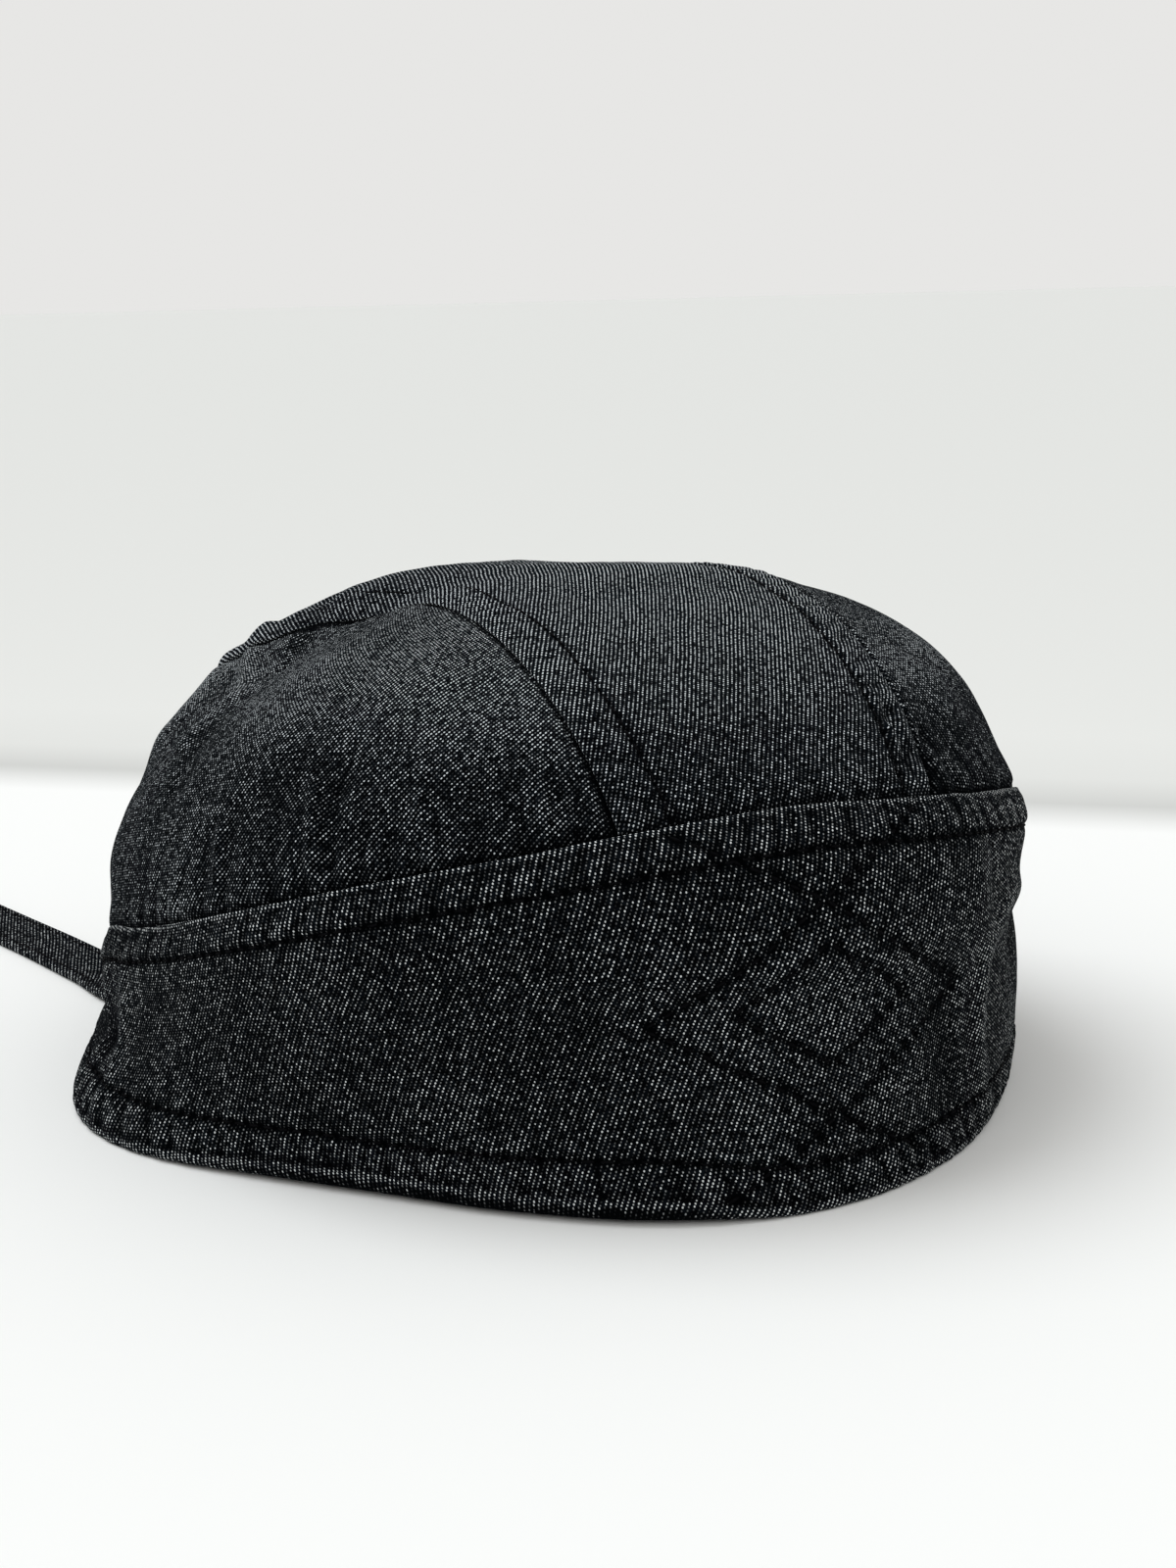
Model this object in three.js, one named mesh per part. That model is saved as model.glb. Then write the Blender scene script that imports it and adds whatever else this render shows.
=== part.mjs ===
// Chef bandana cap of black denim, lying on its rim with its two ties laid out behind it.
// Millimetres, +Z up. The cap faces -Y, so the wearer's right is -X. Its tables are measured from the
// rim's own middle, and the group is then moved so that the origin is under the middle of the cap's box.
// Angles go round the cap from the front, positive towards the wearer's left.
import * as THREE from 'three';

// ---- Driving dimensions ----
const WAIST_HEIGHT = 40; // the wall is steepest here, and the dome starts
const CROWN_HEIGHT = 93.5; // inside top of the crown
const CLOTH = 1.1; // one layer of the crown's denim
const LAYER_GAP = 0.5; // between two layers that lie on each other
const BAND_CLOTH = 1.8; // the doubled denim of the band
const BAND_LAP = 12; // how far the crown runs down behind the band
const SEAM_LAP = 8; // how far a side panel runs under the centre strip
const BAND_END = 124; // angle where the band ends in a tie, on each side
const TIE_WIDTH = 15;
const TIE_THICKNESS = 1.8;
const TIE_TWIST = 42; // length over which a tie turns from upright to lying flat
const RIM_FLARE_POWER = 1.6; // how quickly the wall leaves its rim line
// Middle of the cap's box without its ties, measured from the rim's middle.
const BOX_MIDDLE = { x: -3.4, y: -8.2 };
const LEVEL_HEIGHT = 24; // below this, thickness is set off ever more level, and exactly so at the rim

const DENIM = new THREE.Color(0.028, 0.031, 0.037);

// ---- Round the cap: one row every 15 degrees, sizes of the inner face ----
const ROW_STEP = 15;
const ROUND = [
  // angle, rim radius, waist radius, roundness of the dome, height of the band's top edge
  { angle: -180, rim: 88, waist: 88.5, round: 2.6, band: 0 },
  { angle: -165, rim: 87.5, waist: 89, round: 2.6, band: 0 },
  { angle: -150, rim: 87, waist: 88.5, round: 2.3, band: 0 },
  { angle: -135, rim: 87, waist: 87.5, round: 2.0, band: 4 },
  { angle: -120, rim: 87.5, waist: 86.5, round: 1.7, band: 18.5 },
  { angle: -105, rim: 89, waist: 85.5, round: 1.7, band: 31 },
  { angle: -90, rim: 89.5, waist: 84, round: 1.9, band: 36 },
  { angle: -75, rim: 89, waist: 85, round: 2.1, band: 42 },
  { angle: -60, rim: 87.5, waist: 87.5, round: 2.3, band: 48.5 },
  { angle: -45, rim: 88.5, waist: 89.5, round: 2.4, band: 54.5 },
  { angle: -30, rim: 95, waist: 92, round: 2.3, band: 59 },
  { angle: -15, rim: 103, waist: 94.5, round: 2.1, band: 61.7 },
  { angle: 0, rim: 104, waist: 97, round: 2.0, band: 63 },
  { angle: 15, rim: 99, waist: 96.5, round: 2.1, band: 61.5 },
  { angle: 30, rim: 92.5, waist: 93.5, round: 2.3, band: 59 },
  { angle: 45, rim: 88.5, waist: 90.5, round: 2.6, band: 55.5 },
  { angle: 60, rim: 88, waist: 88.5, round: 3.0, band: 51 },
  { angle: 75, rim: 88, waist: 87.5, round: 3.1, band: 45.5 },
  { angle: 90, rim: 88.5, waist: 86.5, round: 2.9, band: 39.5 },
  { angle: 105, rim: 88.5, waist: 85.5, round: 2.6, band: 31 },
  { angle: 120, rim: 88.5, waist: 85.5, round: 2.4, band: 18.5 },
  { angle: 135, rim: 88, waist: 86, round: 2.3, band: 4 },
  { angle: 150, rim: 88, waist: 86.5, round: 2.3, band: 0 },
  { angle: 165, rim: 88, waist: 87.5, round: 2.5, band: 0 },
];

// ---- Main dents and folds: where each lies, how far it spreads, and how far it stands out ----
const FOLDS = [
  { name: 'right rim flare', angle: -88, height: 0, wide: 22, tall: 10, deep: 6 },
  { name: 'left band bulge', angle: 62, height: 52, wide: 24, tall: 8, deep: 2 },
  { name: 'left wall dent', angle: 62, height: 32, wide: 20, tall: 12, deep: -1.5 },
  { name: 'right back hollow', angle: -120, height: 75, wide: 18, tall: 10, deep: -3.5 },
];

// ---- Centre strip: distance of its two edges from the middle, from front to back over the top ----
// Turn is the angle over the top as seen from the side: 0 in front, 90 on top, 180 behind.
const SEAM_STEP = 30;
const SEAMS = [
  { turn: 0, right: 29, left: 28 },
  { turn: 30, right: 29.5, left: 37 },
  { turn: 60, right: 28.5, left: 43 },
  { turn: 90, right: 27.5, left: 44 },
  { turn: 120, right: 34, left: 44 },
  { turn: 150, right: 44, left: 44.5 },
  { turn: 180, right: 45, left: 45 },
  { turn: 210, right: 43, left: 43 },
  { turn: 240, right: 42, left: 42 },
];

// ---- Ties: middle line on the surface. Each root is worked out from the band's end. ----
const TIE_RIGHT_ROUTE = [
  { x: -69, y: 62 },
  { x: -65.5, y: 76 },
  { x: -65, y: 90 },
  { x: -66.5, y: 104 },
  { x: -69.5, y: 126 },
  { x: -73.5, y: 150 },
  { x: -77, y: 172 },
  { x: -79, y: 190 },
];
const TIE_LEFT_ROUTE = [
  { x: 70, y: 62 },
  { x: 65, y: 76 },
  { x: 60, y: 90 },
  { x: 55, y: 105 },
  { x: 51, y: 126 },
  { x: 50, y: 150 },
  { x: 52, y: 172 },
  { x: 56, y: 190 },
];

// ---- Mesh steps ----
const BAND_CELLS = { round: 62, high: 8 };
const SIDE_CELLS = { round: 36, high: 13 };
const CENTRE_CELLS = { across: 9, along: 44 };
const TIE_STEPS = 44;

const radians = THREE.MathUtils.degToRad;
const degrees = THREE.MathUtils.radToDeg;
const waistCentre = new THREE.Vector3(0, 0, WAIST_HEIGHT);

// ---- Smooth reading of the tables ----

function cubic(before, from, to, after, share) {
  const slopeFrom = (to - before) / 2;
  const slopeTo = (after - from) / 2;
  const s2 = share * share;
  const s3 = s2 * share;
  return (2 * s3 - 3 * s2 + 1) * from + (s3 - 2 * s2 + share) * slopeFrom
    + (3 * s2 - 2 * s3) * to + (s3 - s2) * slopeTo;
}

function aroundValue(column, angle) {
  const count = ROUND.length;
  const place = (((angle + 180) % 360) + 360) % 360 / ROW_STEP;
  const row = Math.floor(place);
  const at = (k) => ROUND[(row + k + count) % count][column];
  return cubic(at(-1), at(0), at(1), at(2), place - row);
}

function seamOffset(side, turn) {
  const last = SEAMS.length - 1;
  const place = THREE.MathUtils.clamp(turn / SEAM_STEP, 0, last);
  const row = Math.min(Math.floor(place), last - 1);
  const at = (k) => SEAMS[THREE.MathUtils.clamp(row + k, 0, last)][side];
  return cubic(at(-1), at(0), at(1), at(2), place - row);
}

function angleBetween(a, b) {
  return ((a - b + 540) % 360 + 360) % 360 - 180;
}

function foldDepth(angle, height) {
  let sum = 0;
  for (const fold of FOLDS) {
    const across = angleBetween(angle, fold.angle) / fold.wide;
    const up = (height - fold.height) / fold.tall;
    sum += fold.deep * Math.exp(-across * across - up * up);
  }
  return sum;
}

// ---- The cap's inner face ----

// Radius of the wall below and above the waist.
function wallRadius(angle, height) {
  const waist = aroundValue('waist', angle);
  if (height < WAIST_HEIGHT) {
    const down = (WAIST_HEIGHT - height) / WAIST_HEIGHT;
    const flare = (aroundValue('rim', angle) - waist) * down ** RIM_FLARE_POWER;
    return waist + flare + foldDepth(angle, height);
  }
  const power = aroundValue('round', angle);
  const up = Math.min((height - WAIST_HEIGHT) / (CROWN_HEIGHT - WAIST_HEIGHT), 1);
  return waist * (1 - up ** power) ** (1 / power) + foldDepth(angle, height);
}

function pointAt(angle, radius, height) {
  const turn = radians(angle);
  return new THREE.Vector3(radius * Math.sin(turn), -radius * Math.cos(turn), height);
}

function wallPoint(angle, height) {
  return pointAt(angle, wallRadius(angle, height), height);
}

// The face in a direction seen from the waist's centre: round the cap, and up or down.
function facePoint(angle, rise) {
  const slope = Math.tan(radians(rise));
  if (rise < 0) {
    let radius = aroundValue('waist', angle);
    for (let i = 0; i < 30; i += 1) {
      radius = wallRadius(angle, Math.max(0, WAIST_HEIGHT + radius * slope));
    }
    return pointAt(angle, radius, Math.max(0, WAIST_HEIGHT + radius * slope));
  }
  const power = aroundValue('round', angle);
  const level = Math.cos(radians(rise)) / aroundValue('waist', angle);
  const upright = Math.sin(radians(rise)) / (CROWN_HEIGHT - WAIST_HEIGHT);
  const reach = (level ** power + upright ** power) ** (-1 / power);
  const height = WAIST_HEIGHT + reach * Math.sin(radians(rise));
  const radius = reach * Math.cos(radians(rise));
  const FADE = 40; // folds die out towards the middle of the top
  return pointAt(angle, radius + foldDepth(angle, height) * Math.min(radius / FADE, 1), height);
}

// The face seen from the waist's centre by the turn over the top, and the lean to one side.
function overPoint(turn, lean) {
  const side = Math.sin(radians(lean));
  const middle = Math.cos(radians(lean));
  const front = middle * Math.cos(radians(turn));
  const up = middle * Math.sin(radians(turn));
  const angle = degrees(Math.atan2(side, front));
  return facePoint(angle, degrees(Math.asin(THREE.MathUtils.clamp(up, -1, 1))));
}

// The face at a set distance from the middle plane.
function stripPoint(turn, offset) {
  let lean = degrees(Math.asin(offset / overPoint(turn, 0).distanceTo(waistCentre)));
  for (let i = 0; i < 8; i += 1) {
    const reach = overPoint(turn, lean).distanceTo(waistCentre);
    lean = degrees(Math.asin(THREE.MathUtils.clamp(offset / reach, -0.99, 0.99)));
  }
  return overPoint(turn, lean);
}

// ---- Where the pieces end ----

function crownEdge(angle) {
  return Math.max(0, aroundValue('band', angle) - BAND_LAP);
}

function angleOf(point) {
  return degrees(Math.atan2(point.x, -point.y));
}

// The value between low and high where the test turns from false to true.
function turningPoint(low, high, test) {
  let from = low;
  let to = high;
  for (let i = 0; i < 40; i += 1) {
    const middle = (from + to) / 2;
    if (test(middle)) {
      to = middle;
    } else {
      from = middle;
    }
  }
  return to;
}

// ---- Cloth: a closed wall between two offsets of a face ----

// Outward direction, which turns level towards the rim so that the rim stays flat.
function outward(face, u, v) {
  const step = 1e-3;
  const along = face(u + step, v).sub(face(u - step, v));
  const across = face(u, v + step).sub(face(u, v - step));
  const here = face(u, v);
  const normal = along.cross(across).normalize();
  if (normal.dot(here.clone().sub(new THREE.Vector3(0, 0, WAIST_HEIGHT / 2))) < 0) {
    normal.negate();
  }
  normal.z *= THREE.MathUtils.smoothstep(here.z, 0, LEVEL_HEIGHT);
  return normal.normalize();
}

function closedBody(points, faces) {
  const geometry = new THREE.BufferGeometry();
  const positions = points.flatMap((p) => [p.x, p.y, p.z]);
  let volume = 0;
  for (const [a, b, c] of faces) {
    volume += points[a].dot(points[b].clone().cross(points[c]));
  }
  const index = faces.flatMap(([a, b, c]) => (volume > 0 ? [a, b, c] : [a, c, b]));
  geometry.setAttribute('position', new THREE.Float32BufferAttribute(positions, 3));
  geometry.setIndex(index);
  geometry.computeVertexNormals();
  return geometry;
}

// face(u, v) for u and v from 0 to 1; inner(u, v) is how far the inner side stands off it.
function cloth(face, cellsU, cellsV, inner, thickness) {
  const points = [];
  for (const layer of [0, thickness]) {
    for (let i = 0; i <= cellsU; i += 1) {
      for (let j = 0; j <= cellsV; j += 1) {
        const u = i / cellsU;
        const v = j / cellsV;
        points.push(face(u, v).addScaledVector(outward(face, u, v), inner(u, v) + layer));
      }
    }
  }
  const row = cellsV + 1;
  const outer = (cellsU + 1) * row;
  const faces = [];
  const quad = (a, b, c, d) => faces.push([a, b, c], [a, c, d]);
  for (let i = 0; i < cellsU; i += 1) {
    for (let j = 0; j < cellsV; j += 1) {
      const a = i * row + j;
      quad(a, a + 1, a + row + 1, a + row);
      quad(outer + a, outer + a + row, outer + a + row + 1, outer + a + 1);
    }
  }
  for (let i = 0; i < cellsU; i += 1) {
    const low = i * row;
    const high = low + cellsV;
    quad(low, low + row, outer + low + row, outer + low);
    quad(high + row, high, outer + high, outer + high + row);
  }
  for (let j = 0; j < cellsV; j += 1) {
    const end = cellsU * row;
    quad(j + 1, j, outer + j, outer + j + 1);
    quad(end + j, end + j + 1, outer + end + j + 1, outer + end + j);
  }
  return closedBody(points, faces);
}

// ---- The pieces ----

function mesh(name, geometry) {
  const material = new THREE.MeshStandardMaterial({ color: DENIM, roughness: 0.92, metalness: 0 });
  const piece = new THREE.Mesh(geometry, material);
  piece.name = name;
  return piece;
}

// The band stands off further where it runs over the edge of the centre strip.
function bandStandOff(angle, height) {
  const one = CLOTH + LAYER_GAP;
  const side = angle < 0 ? 'right' : 'left';
  const point = wallPoint(angle, height);
  const beyond = Math.abs(point.x) - seamOffset(side, 10);
  const overStrip = Math.abs(angle) > 90 ? 0 : 1 - THREE.MathUtils.smoothstep(beyond, 5, 13);
  const behindBand = crownEdge(angle);
  const nearCrown = THREE.MathUtils.smoothstep(height, behindBand - 18, behindBand - 8);
  return one + one * overStrip * nearCrown;
}

function makeBand() {
  const place = (u, v) => {
    const angle = (2 * u - 1) * BAND_END;
    return { angle, height: v * aroundValue('band', angle) };
  };
  const face = (u, v) => {
    const { angle, height } = place(u, v);
    return wallPoint(angle, height);
  };
  const inner = (u, v) => {
    const { angle, height } = place(u, v);
    return bandStandOff(angle, height);
  };
  return mesh('band', cloth(face, BAND_CELLS.round, BAND_CELLS.high, inner, BAND_CLOTH));
}

function makeCrownCentre() {
  const FRONT_MOST = -20;
  const TOP = 90;
  const BACK_MOST = 240;
  const offsetAt = (turn, v) => {
    const right = seamOffset('right', turn);
    return THREE.MathUtils.lerp(-right, seamOffset('left', turn), v);
  };
  const ends = new Map(); // where each line of the strip starts and ends
  const endsAt = (v) => {
    const key = v.toFixed(6);
    if (!ends.has(key)) {
      const aboveEdge = (turn) => {
        const point = stripPoint(turn, offsetAt(turn, v));
        return point.z > crownEdge(angleOf(point));
      };
      const onRim = (turn) => stripPoint(turn, offsetAt(turn, v)).z <= 0;
      ends.set(key, {
        front: turningPoint(FRONT_MOST, TOP, aboveEdge),
        back: turningPoint(TOP, BACK_MOST, onRim),
      });
    }
    return ends.get(key);
  };
  const face = (u, v) => {
    const { front, back } = endsAt(v);
    const turn = THREE.MathUtils.lerp(front, back, u);
    return stripPoint(turn, offsetAt(turn, v));
  };
  const inner = () => CLOTH + LAYER_GAP;
  return mesh('crown_centre', cloth(face, CENTRE_CELLS.along, CENTRE_CELLS.across, inner, CLOTH));
}

function makeCrownSide(name, side) {
  const sign = side === 'right' ? -1 : 1;
  // How far a point lies beyond the panel's hidden edge, under the centre strip.
  const beyondEdge = (point) => {
    const turn = degrees(Math.atan2(point.z - WAIST_HEIGHT, -point.y));
    const over = turn < -90 ? turn + 360 : Math.max(turn, 0);
    return Math.abs(point.x) - (seamOffset(side, over) - SEAM_LAP);
  };
  const SPARE = 1.2; // the first and last columns of the panel are not quite points
  const onLowEdge = (angle) => wallPoint(sign * angle, crownEdge(sign * angle));
  const firstAngle = turningPoint(0, 60, (angle) => beyondEdge(onLowEdge(angle)) > SPARE);
  const lastAngle = turningPoint(180, 120, (angle) => beyondEdge(onLowEdge(angle)) > SPARE);
  const limits = new Map(); // how low and how high the panel reaches at each angle
  const limitsAt = (angle) => {
    const key = angle.toFixed(6);
    if (!limits.has(key)) {
      const low = onLowEdge(angle);
      const lowRise = degrees(Math.atan2(low.z - WAIST_HEIGHT, Math.hypot(low.x, low.y)));
      const isOver = (rise) => beyondEdge(facePoint(sign * angle, rise)) < 0;
      const highRise = turningPoint(lowRise, 89, isOver);
      limits.set(key, { lowRise, highRise });
    }
    return limits.get(key);
  };
  const face = (u, v) => {
    const angle = THREE.MathUtils.lerp(firstAngle, lastAngle, u);
    const { lowRise, highRise } = limitsAt(angle);
    return facePoint(sign * angle, THREE.MathUtils.lerp(lowRise, highRise, v));
  };
  return mesh(name, cloth(face, SIDE_CELLS.round, SIDE_CELLS.high, () => 0, CLOTH));
}

// A flat strap that leaves the band's end upright and turns over to lie on the surface.
function makeTie(name, side, route) {
  const sign = side === 'right' ? -1 : 1;
  const angle = sign * BAND_END;
  const middle = TIE_WIDTH / 2;
  const face = (u, v) => wallPoint(u, v);
  const offset = bandStandOff(angle, middle) + BAND_CLOTH / 2;
  const rootWall = wallPoint(angle, 0);
  const out = outward(face, angle, 0);
  const forward = wallPoint(angle + sign, 0).sub(rootWall).normalize();
  const root = rootWall.addScaledVector(out, offset).addScaledVector(forward, LAYER_GAP);
  const LEAD = 6; // the strap first goes straight on from the band
  const leadEnd = root.clone().addScaledVector(forward, LEAD);
  const laid = route.map((p) => new THREE.Vector3(p.x, p.y, 0));
  const line = new THREE.CatmullRomCurve3([root, leadEnd, ...laid], false, 'centripetal');
  const length = line.getLength();
  const halfWide = TIE_WIDTH / 2;
  const halfThick = TIE_THICKNESS / 2;
  const bevel = 0.5;
  const section = [
    [halfWide, halfThick - bevel],
    [halfWide - bevel, halfThick],
    [bevel - halfWide, halfThick],
    [-halfWide, halfThick - bevel],
    [-halfWide, bevel - halfThick],
    [bevel - halfWide, -halfThick],
    [halfWide - bevel, -halfThick],
    [halfWide, bevel - halfThick],
  ];
  const points = [];
  const faces = [];
  const sides = section.length;
  for (let i = 0; i <= TIE_STEPS; i += 1) {
    const share = i / TIE_STEPS;
    const here = line.getPointAt(share);
    const ahead = i === 0 ? forward.clone() : line.getTangentAt(share);
    const level = new THREE.Vector3(-ahead.y, ahead.x, 0).multiplyScalar(sign);
    const twist = radians(90) * (1 - THREE.MathUtils.smoothstep(share * length, LEAD, TIE_TWIST));
    const wide = level.clone().multiplyScalar(Math.cos(twist)).setZ(Math.sin(twist));
    const thick = level.clone().multiplyScalar(-Math.sin(twist)).setZ(Math.cos(twist));
    here.z = halfWide * Math.sin(twist) + halfThick * Math.cos(twist);
    for (const [w, t] of section) {
      points.push(here.clone().addScaledVector(wide, w).addScaledVector(thick, t));
    }
  }
  for (let i = 0; i < TIE_STEPS; i += 1) {
    for (let j = 0; j < sides; j += 1) {
      const a = i * sides + j;
      const b = i * sides + (j + 1) % sides;
      faces.push([a, b, b + sides], [a, b + sides, a + sides]);
    }
  }
  const end = TIE_STEPS * sides;
  for (let j = 1; j < sides - 1; j += 1) {
    faces.push([0, j + 1, j], [end, end + j, end + j + 1]);
  }
  return mesh(name, closedBody(points, faces));
}

const cap = new THREE.Group();
cap.position.set(-BOX_MIDDLE.x, -BOX_MIDDLE.y, 0);
cap.add(makeBand());
cap.add(makeCrownCentre());
cap.add(makeCrownSide('crown_side_right', 'right'));
cap.add(makeCrownSide('crown_side_left', 'left'));
cap.add(makeTie('tie_right', 'right', TIE_RIGHT_ROUTE));
cap.add(makeTie('tie_left', 'left', TIE_LEFT_ROUTE));

export default cap;
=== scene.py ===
"""Chef bandana cap of black denim, lying on its rim with its two ties laid out behind it.

Shapes are worked out in millimetres in the frame's own axes: +Z up, the front at -Y, the wearer's right
at -X. Meshes are scaled to metres as they are made. Angles go round the cap from the front, in degrees,
positive towards the wearer's left.
"""

import math

import bpy
import numpy as np
from bpy.props import FloatProperty, FloatVectorProperty, IntProperty, PointerProperty
from bpy.types import Operator, Panel, PropertyGroup
from mathutils import Matrix, Vector
from mathutils.kdtree import KDTree


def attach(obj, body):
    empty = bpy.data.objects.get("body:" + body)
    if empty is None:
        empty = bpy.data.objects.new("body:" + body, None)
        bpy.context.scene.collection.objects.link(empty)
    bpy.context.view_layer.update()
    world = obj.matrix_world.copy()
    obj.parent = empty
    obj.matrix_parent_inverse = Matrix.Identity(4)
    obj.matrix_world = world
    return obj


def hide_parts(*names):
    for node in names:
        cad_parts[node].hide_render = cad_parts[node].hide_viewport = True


bl_info = {
    "name": "Chef bandana cap",
    "version": (1, 0, 0),
    "blender": (4, 5, 0),
    "location": "3D View > Sidebar > Bandana cap",
    "description": "Builds a soft denim bandana cap with a stitched band, a panelled crown and two ties",
    "category": "Object",
}

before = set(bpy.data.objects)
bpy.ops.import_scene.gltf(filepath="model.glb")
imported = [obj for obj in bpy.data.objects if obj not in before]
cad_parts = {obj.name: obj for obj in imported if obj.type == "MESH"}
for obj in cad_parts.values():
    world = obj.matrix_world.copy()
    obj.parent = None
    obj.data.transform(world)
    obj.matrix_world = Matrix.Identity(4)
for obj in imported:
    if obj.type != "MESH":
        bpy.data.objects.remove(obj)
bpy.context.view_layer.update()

MM = 0.001
INNER_STEP = 4  # a cloth's hidden inner side has one point for so many of its outer side's, each way

# ---- Driving sizes, in millimetres and degrees ----

WAIST_HEIGHT = 40  # where the wall ends and the dome starts
CROWN_HEIGHT = 93.5
DOME_HEIGHT = CROWN_HEIGHT - WAIST_HEIGHT
CLOTH = 1.1  # thickness of the crown's one layer
LAYER_GAP = 0.5  # between two cloths that lap
BAND_CLOTH = 1.8
BAND_LAP = 12  # how far the crown runs down behind the band
SEAM_LAP = 8  # how far a side panel runs in under the centre strip
BAND_END = 124  # angle of the band's ends, where the ties start
TIE_WIDTH = 15
TIE_THICKNESS = 1.8
TIE_LEAD = 6  # straight stretch of a tie out of the band's end
TIE_TWIST = 42  # how far along a tie it has turned flat
TIE_SWELL = 0.15  # the most that a tie's sides stand out
RIM_FLARE_POWER = 1.6
LEVEL_HEIGHT = 24  # below it, the way out of the face turns level
FOLD_FADE = 40  # broad folds fade out this close to the middle of the top
BOX_MIDDLE = np.array([-3.4, -8.2, 0.0])  # of the cap without its ties, above the frame's origin

HOLE_WIDTH = 0.85  # of the pit round a needle hole
EDGE_STITCH = 6.6  # from the band's top edge to its topstitch
HEM_STITCH = 7.6  # from the rim to its topstitch
SEAM_STITCH = 8.6  # from a seam's edge to its topstitch
TIE_STITCH = 2.2  # from a tie's edge to its topstitch
QUILT_BOLD = 1.3  # how much bolder the ornament's stitches are
BOLD_STRETCH = 0.3  # a bolder row's stitches are longer by this power of how bold it is

ROW_STEP = 15
ROUND = np.array(
    [
        # angle, rim radius, waist radius, roundness of the dome, height of the band's top edge
        (-180, 88, 88.5, 2.6, 0),
        (-165, 87.5, 89, 2.6, 0),
        (-150, 87, 88.5, 2.3, 0),
        (-135, 87, 87.5, 2.0, 4),
        (-120, 87.5, 86.5, 1.7, 18.5),
        (-105, 89, 85.5, 1.7, 31),
        (-90, 89.5, 84, 1.9, 36),
        (-75, 89, 85, 2.1, 42),
        (-60, 87.5, 87.5, 2.3, 48.5),
        (-45, 88.5, 89.5, 2.4, 54.5),
        (-30, 95, 92, 2.3, 59),
        (-15, 103, 94.5, 2.1, 61.7),
        (0, 104, 97, 2.0, 63),
        (15, 99, 96.5, 2.1, 61.5),
        (30, 92.5, 93.5, 2.3, 59),
        (45, 88.5, 90.5, 2.6, 55.5),
        (60, 88, 88.5, 3.0, 51),
        (75, 88, 87.5, 3.1, 45.5),
        (90, 88.5, 86.5, 2.9, 39.5),
        (105, 88.5, 85.5, 2.6, 31),
        (120, 88.5, 85.5, 2.4, 18.5),
        (135, 88, 86, 2.3, 4),
        (150, 88, 86.5, 2.3, 0),
        (165, 88, 87.5, 2.5, 0),
    ],
    dtype=[("angle", float), ("rim", float), ("waist", float), ("round", float), ("band", float)],
)

FOLDS = np.array(
    [
        # name, angle, height, how wide and how tall it spreads, how far it stands out
        ("right rim flare", -88, 0, 22, 10, 6),
        ("left band bulge", 62, 52, 24, 8, 2),
        ("left wall dent", 62, 32, 20, 12, -1.5),
        ("right back hollow", -120, 75, 18, 10, -3.5),
    ],
    dtype=[("name", "U20"), ("angle", float), ("height", float), ("wide", float), ("tall", float),
           ("deep", float)],
)

SEAM_STEP = 30
SEAMS = np.array(
    [
        # turn over the top from the front, distance of the strip's right and left edge from the middle
        (0, 29, 28),
        (30, 29.5, 37),
        (60, 28.5, 43),
        (90, 27.5, 44),
        (120, 34, 44),
        (150, 44, 44.5),
        (180, 45, 45),
        (210, 43, 43),
        (240, 42, 42),
    ],
    dtype=[("turn", float), ("right", float), ("left", float)],
)

# Middle line of each tie on the surface, in order from the band.
TIE_ROUTES = {
    "right": [(-69, 62), (-65.5, 76), (-65, 90), (-66.5, 104),
              (-69.5, 126), (-73.5, 150), (-77, 172), (-79, 190)],
    "left": [(70, 62), (65, 76), (60, 90), (55, 105),
             (51, 126), (50, 150), (52, 172), (56, 190)],
}

# Soft creases and ridges pressed into the cap: angle and height of each one's points, how wide it is, and
# how far it stands out.
CREASES = (
    ("ridge on the left wall", [(40, 39), (31, 39), (24, 34), (22, 21), (24, 5)], 2.6, 0.9),
    ("hollow behind the left ridge", [(15, 33), (15, 20), (17, 10)], 4.5, -0.7),
    ("left band dent", [(58, 38), (46, 35), (38, 30)], 5, -1.3),
    ("crease over the right flare", [(-116, 16), (-104, 13), (-94, 13)], 4, -1.7),
    ("front ridge on the right flare", [(-92, 27), (-90, 15), (-87, 4)], 2.6, 0.8),
    ("back ridge on the right flare", [(-100, 24), (-98, 14), (-96, 4)], 2.6, 0.7),
    ("upper back crease", [(-153, 85), (-137, 85), (-126, 81), (-112, 77)], 3.2, -2.0),
    ("back ridge", [(-147, 79), (-133, 76), (-125, 73.5), (-116, 71), (-104, 65)], 2.6, 1.5),
    ("back bulge", [(-153, 68), (-141, 72), (-136, 67), (-131, 61)], 7, 2.3),
    ("lower back crease", [(-119, 79), (-108, 74), (-98, 68), (-91, 61)], 4, -1.3),
    ("pleat at the left seam's foot", [(24, 74), (20, 69), (17, 63)], 1.5, -0.9),
    ("second pleat at the left seam's foot", [(28, 70), (24, 67), (21, 62)], 1.5, -0.9),
    ("pucker over the band", [(-57, 68), (-55, 62), (-54, 55)], 1.3, 0.9),
    ("valley beside the pucker", [(-53, 68), (-51.5, 56)], 1.4, -0.8),
    ("second pucker", [(-41.5, 67), (-40, 58)], 1.1, 0.7),
    ("third pucker", [(-28.5, 72), (-27, 64)], 1.1, 0.7),
    ("far right pucker", [(-71, 58), (-69, 49)], 1.3, 0.7),
    ("left pucker", [(20, 71), (17.5, 63)], 1.1, 0.7),
    ("dent in the top", [(-60, 90), (20, 92), (60, 88)], 9, -0.8),
    ("right crown hollow", [(-62, 64), (-50, 72), (-36, 80)], 8, -0.8),
    ("left crown crease", [(75, 60), (95, 66), (120, 64)], 6, -1.4),
    ("back crown crease", [(150, 48), (172, 56), (-165, 52)], 6, -1.6),
    ("low back crease", [(165, 22), (180, 26), (-158, 20)], 6, -1.3),
)

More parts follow.
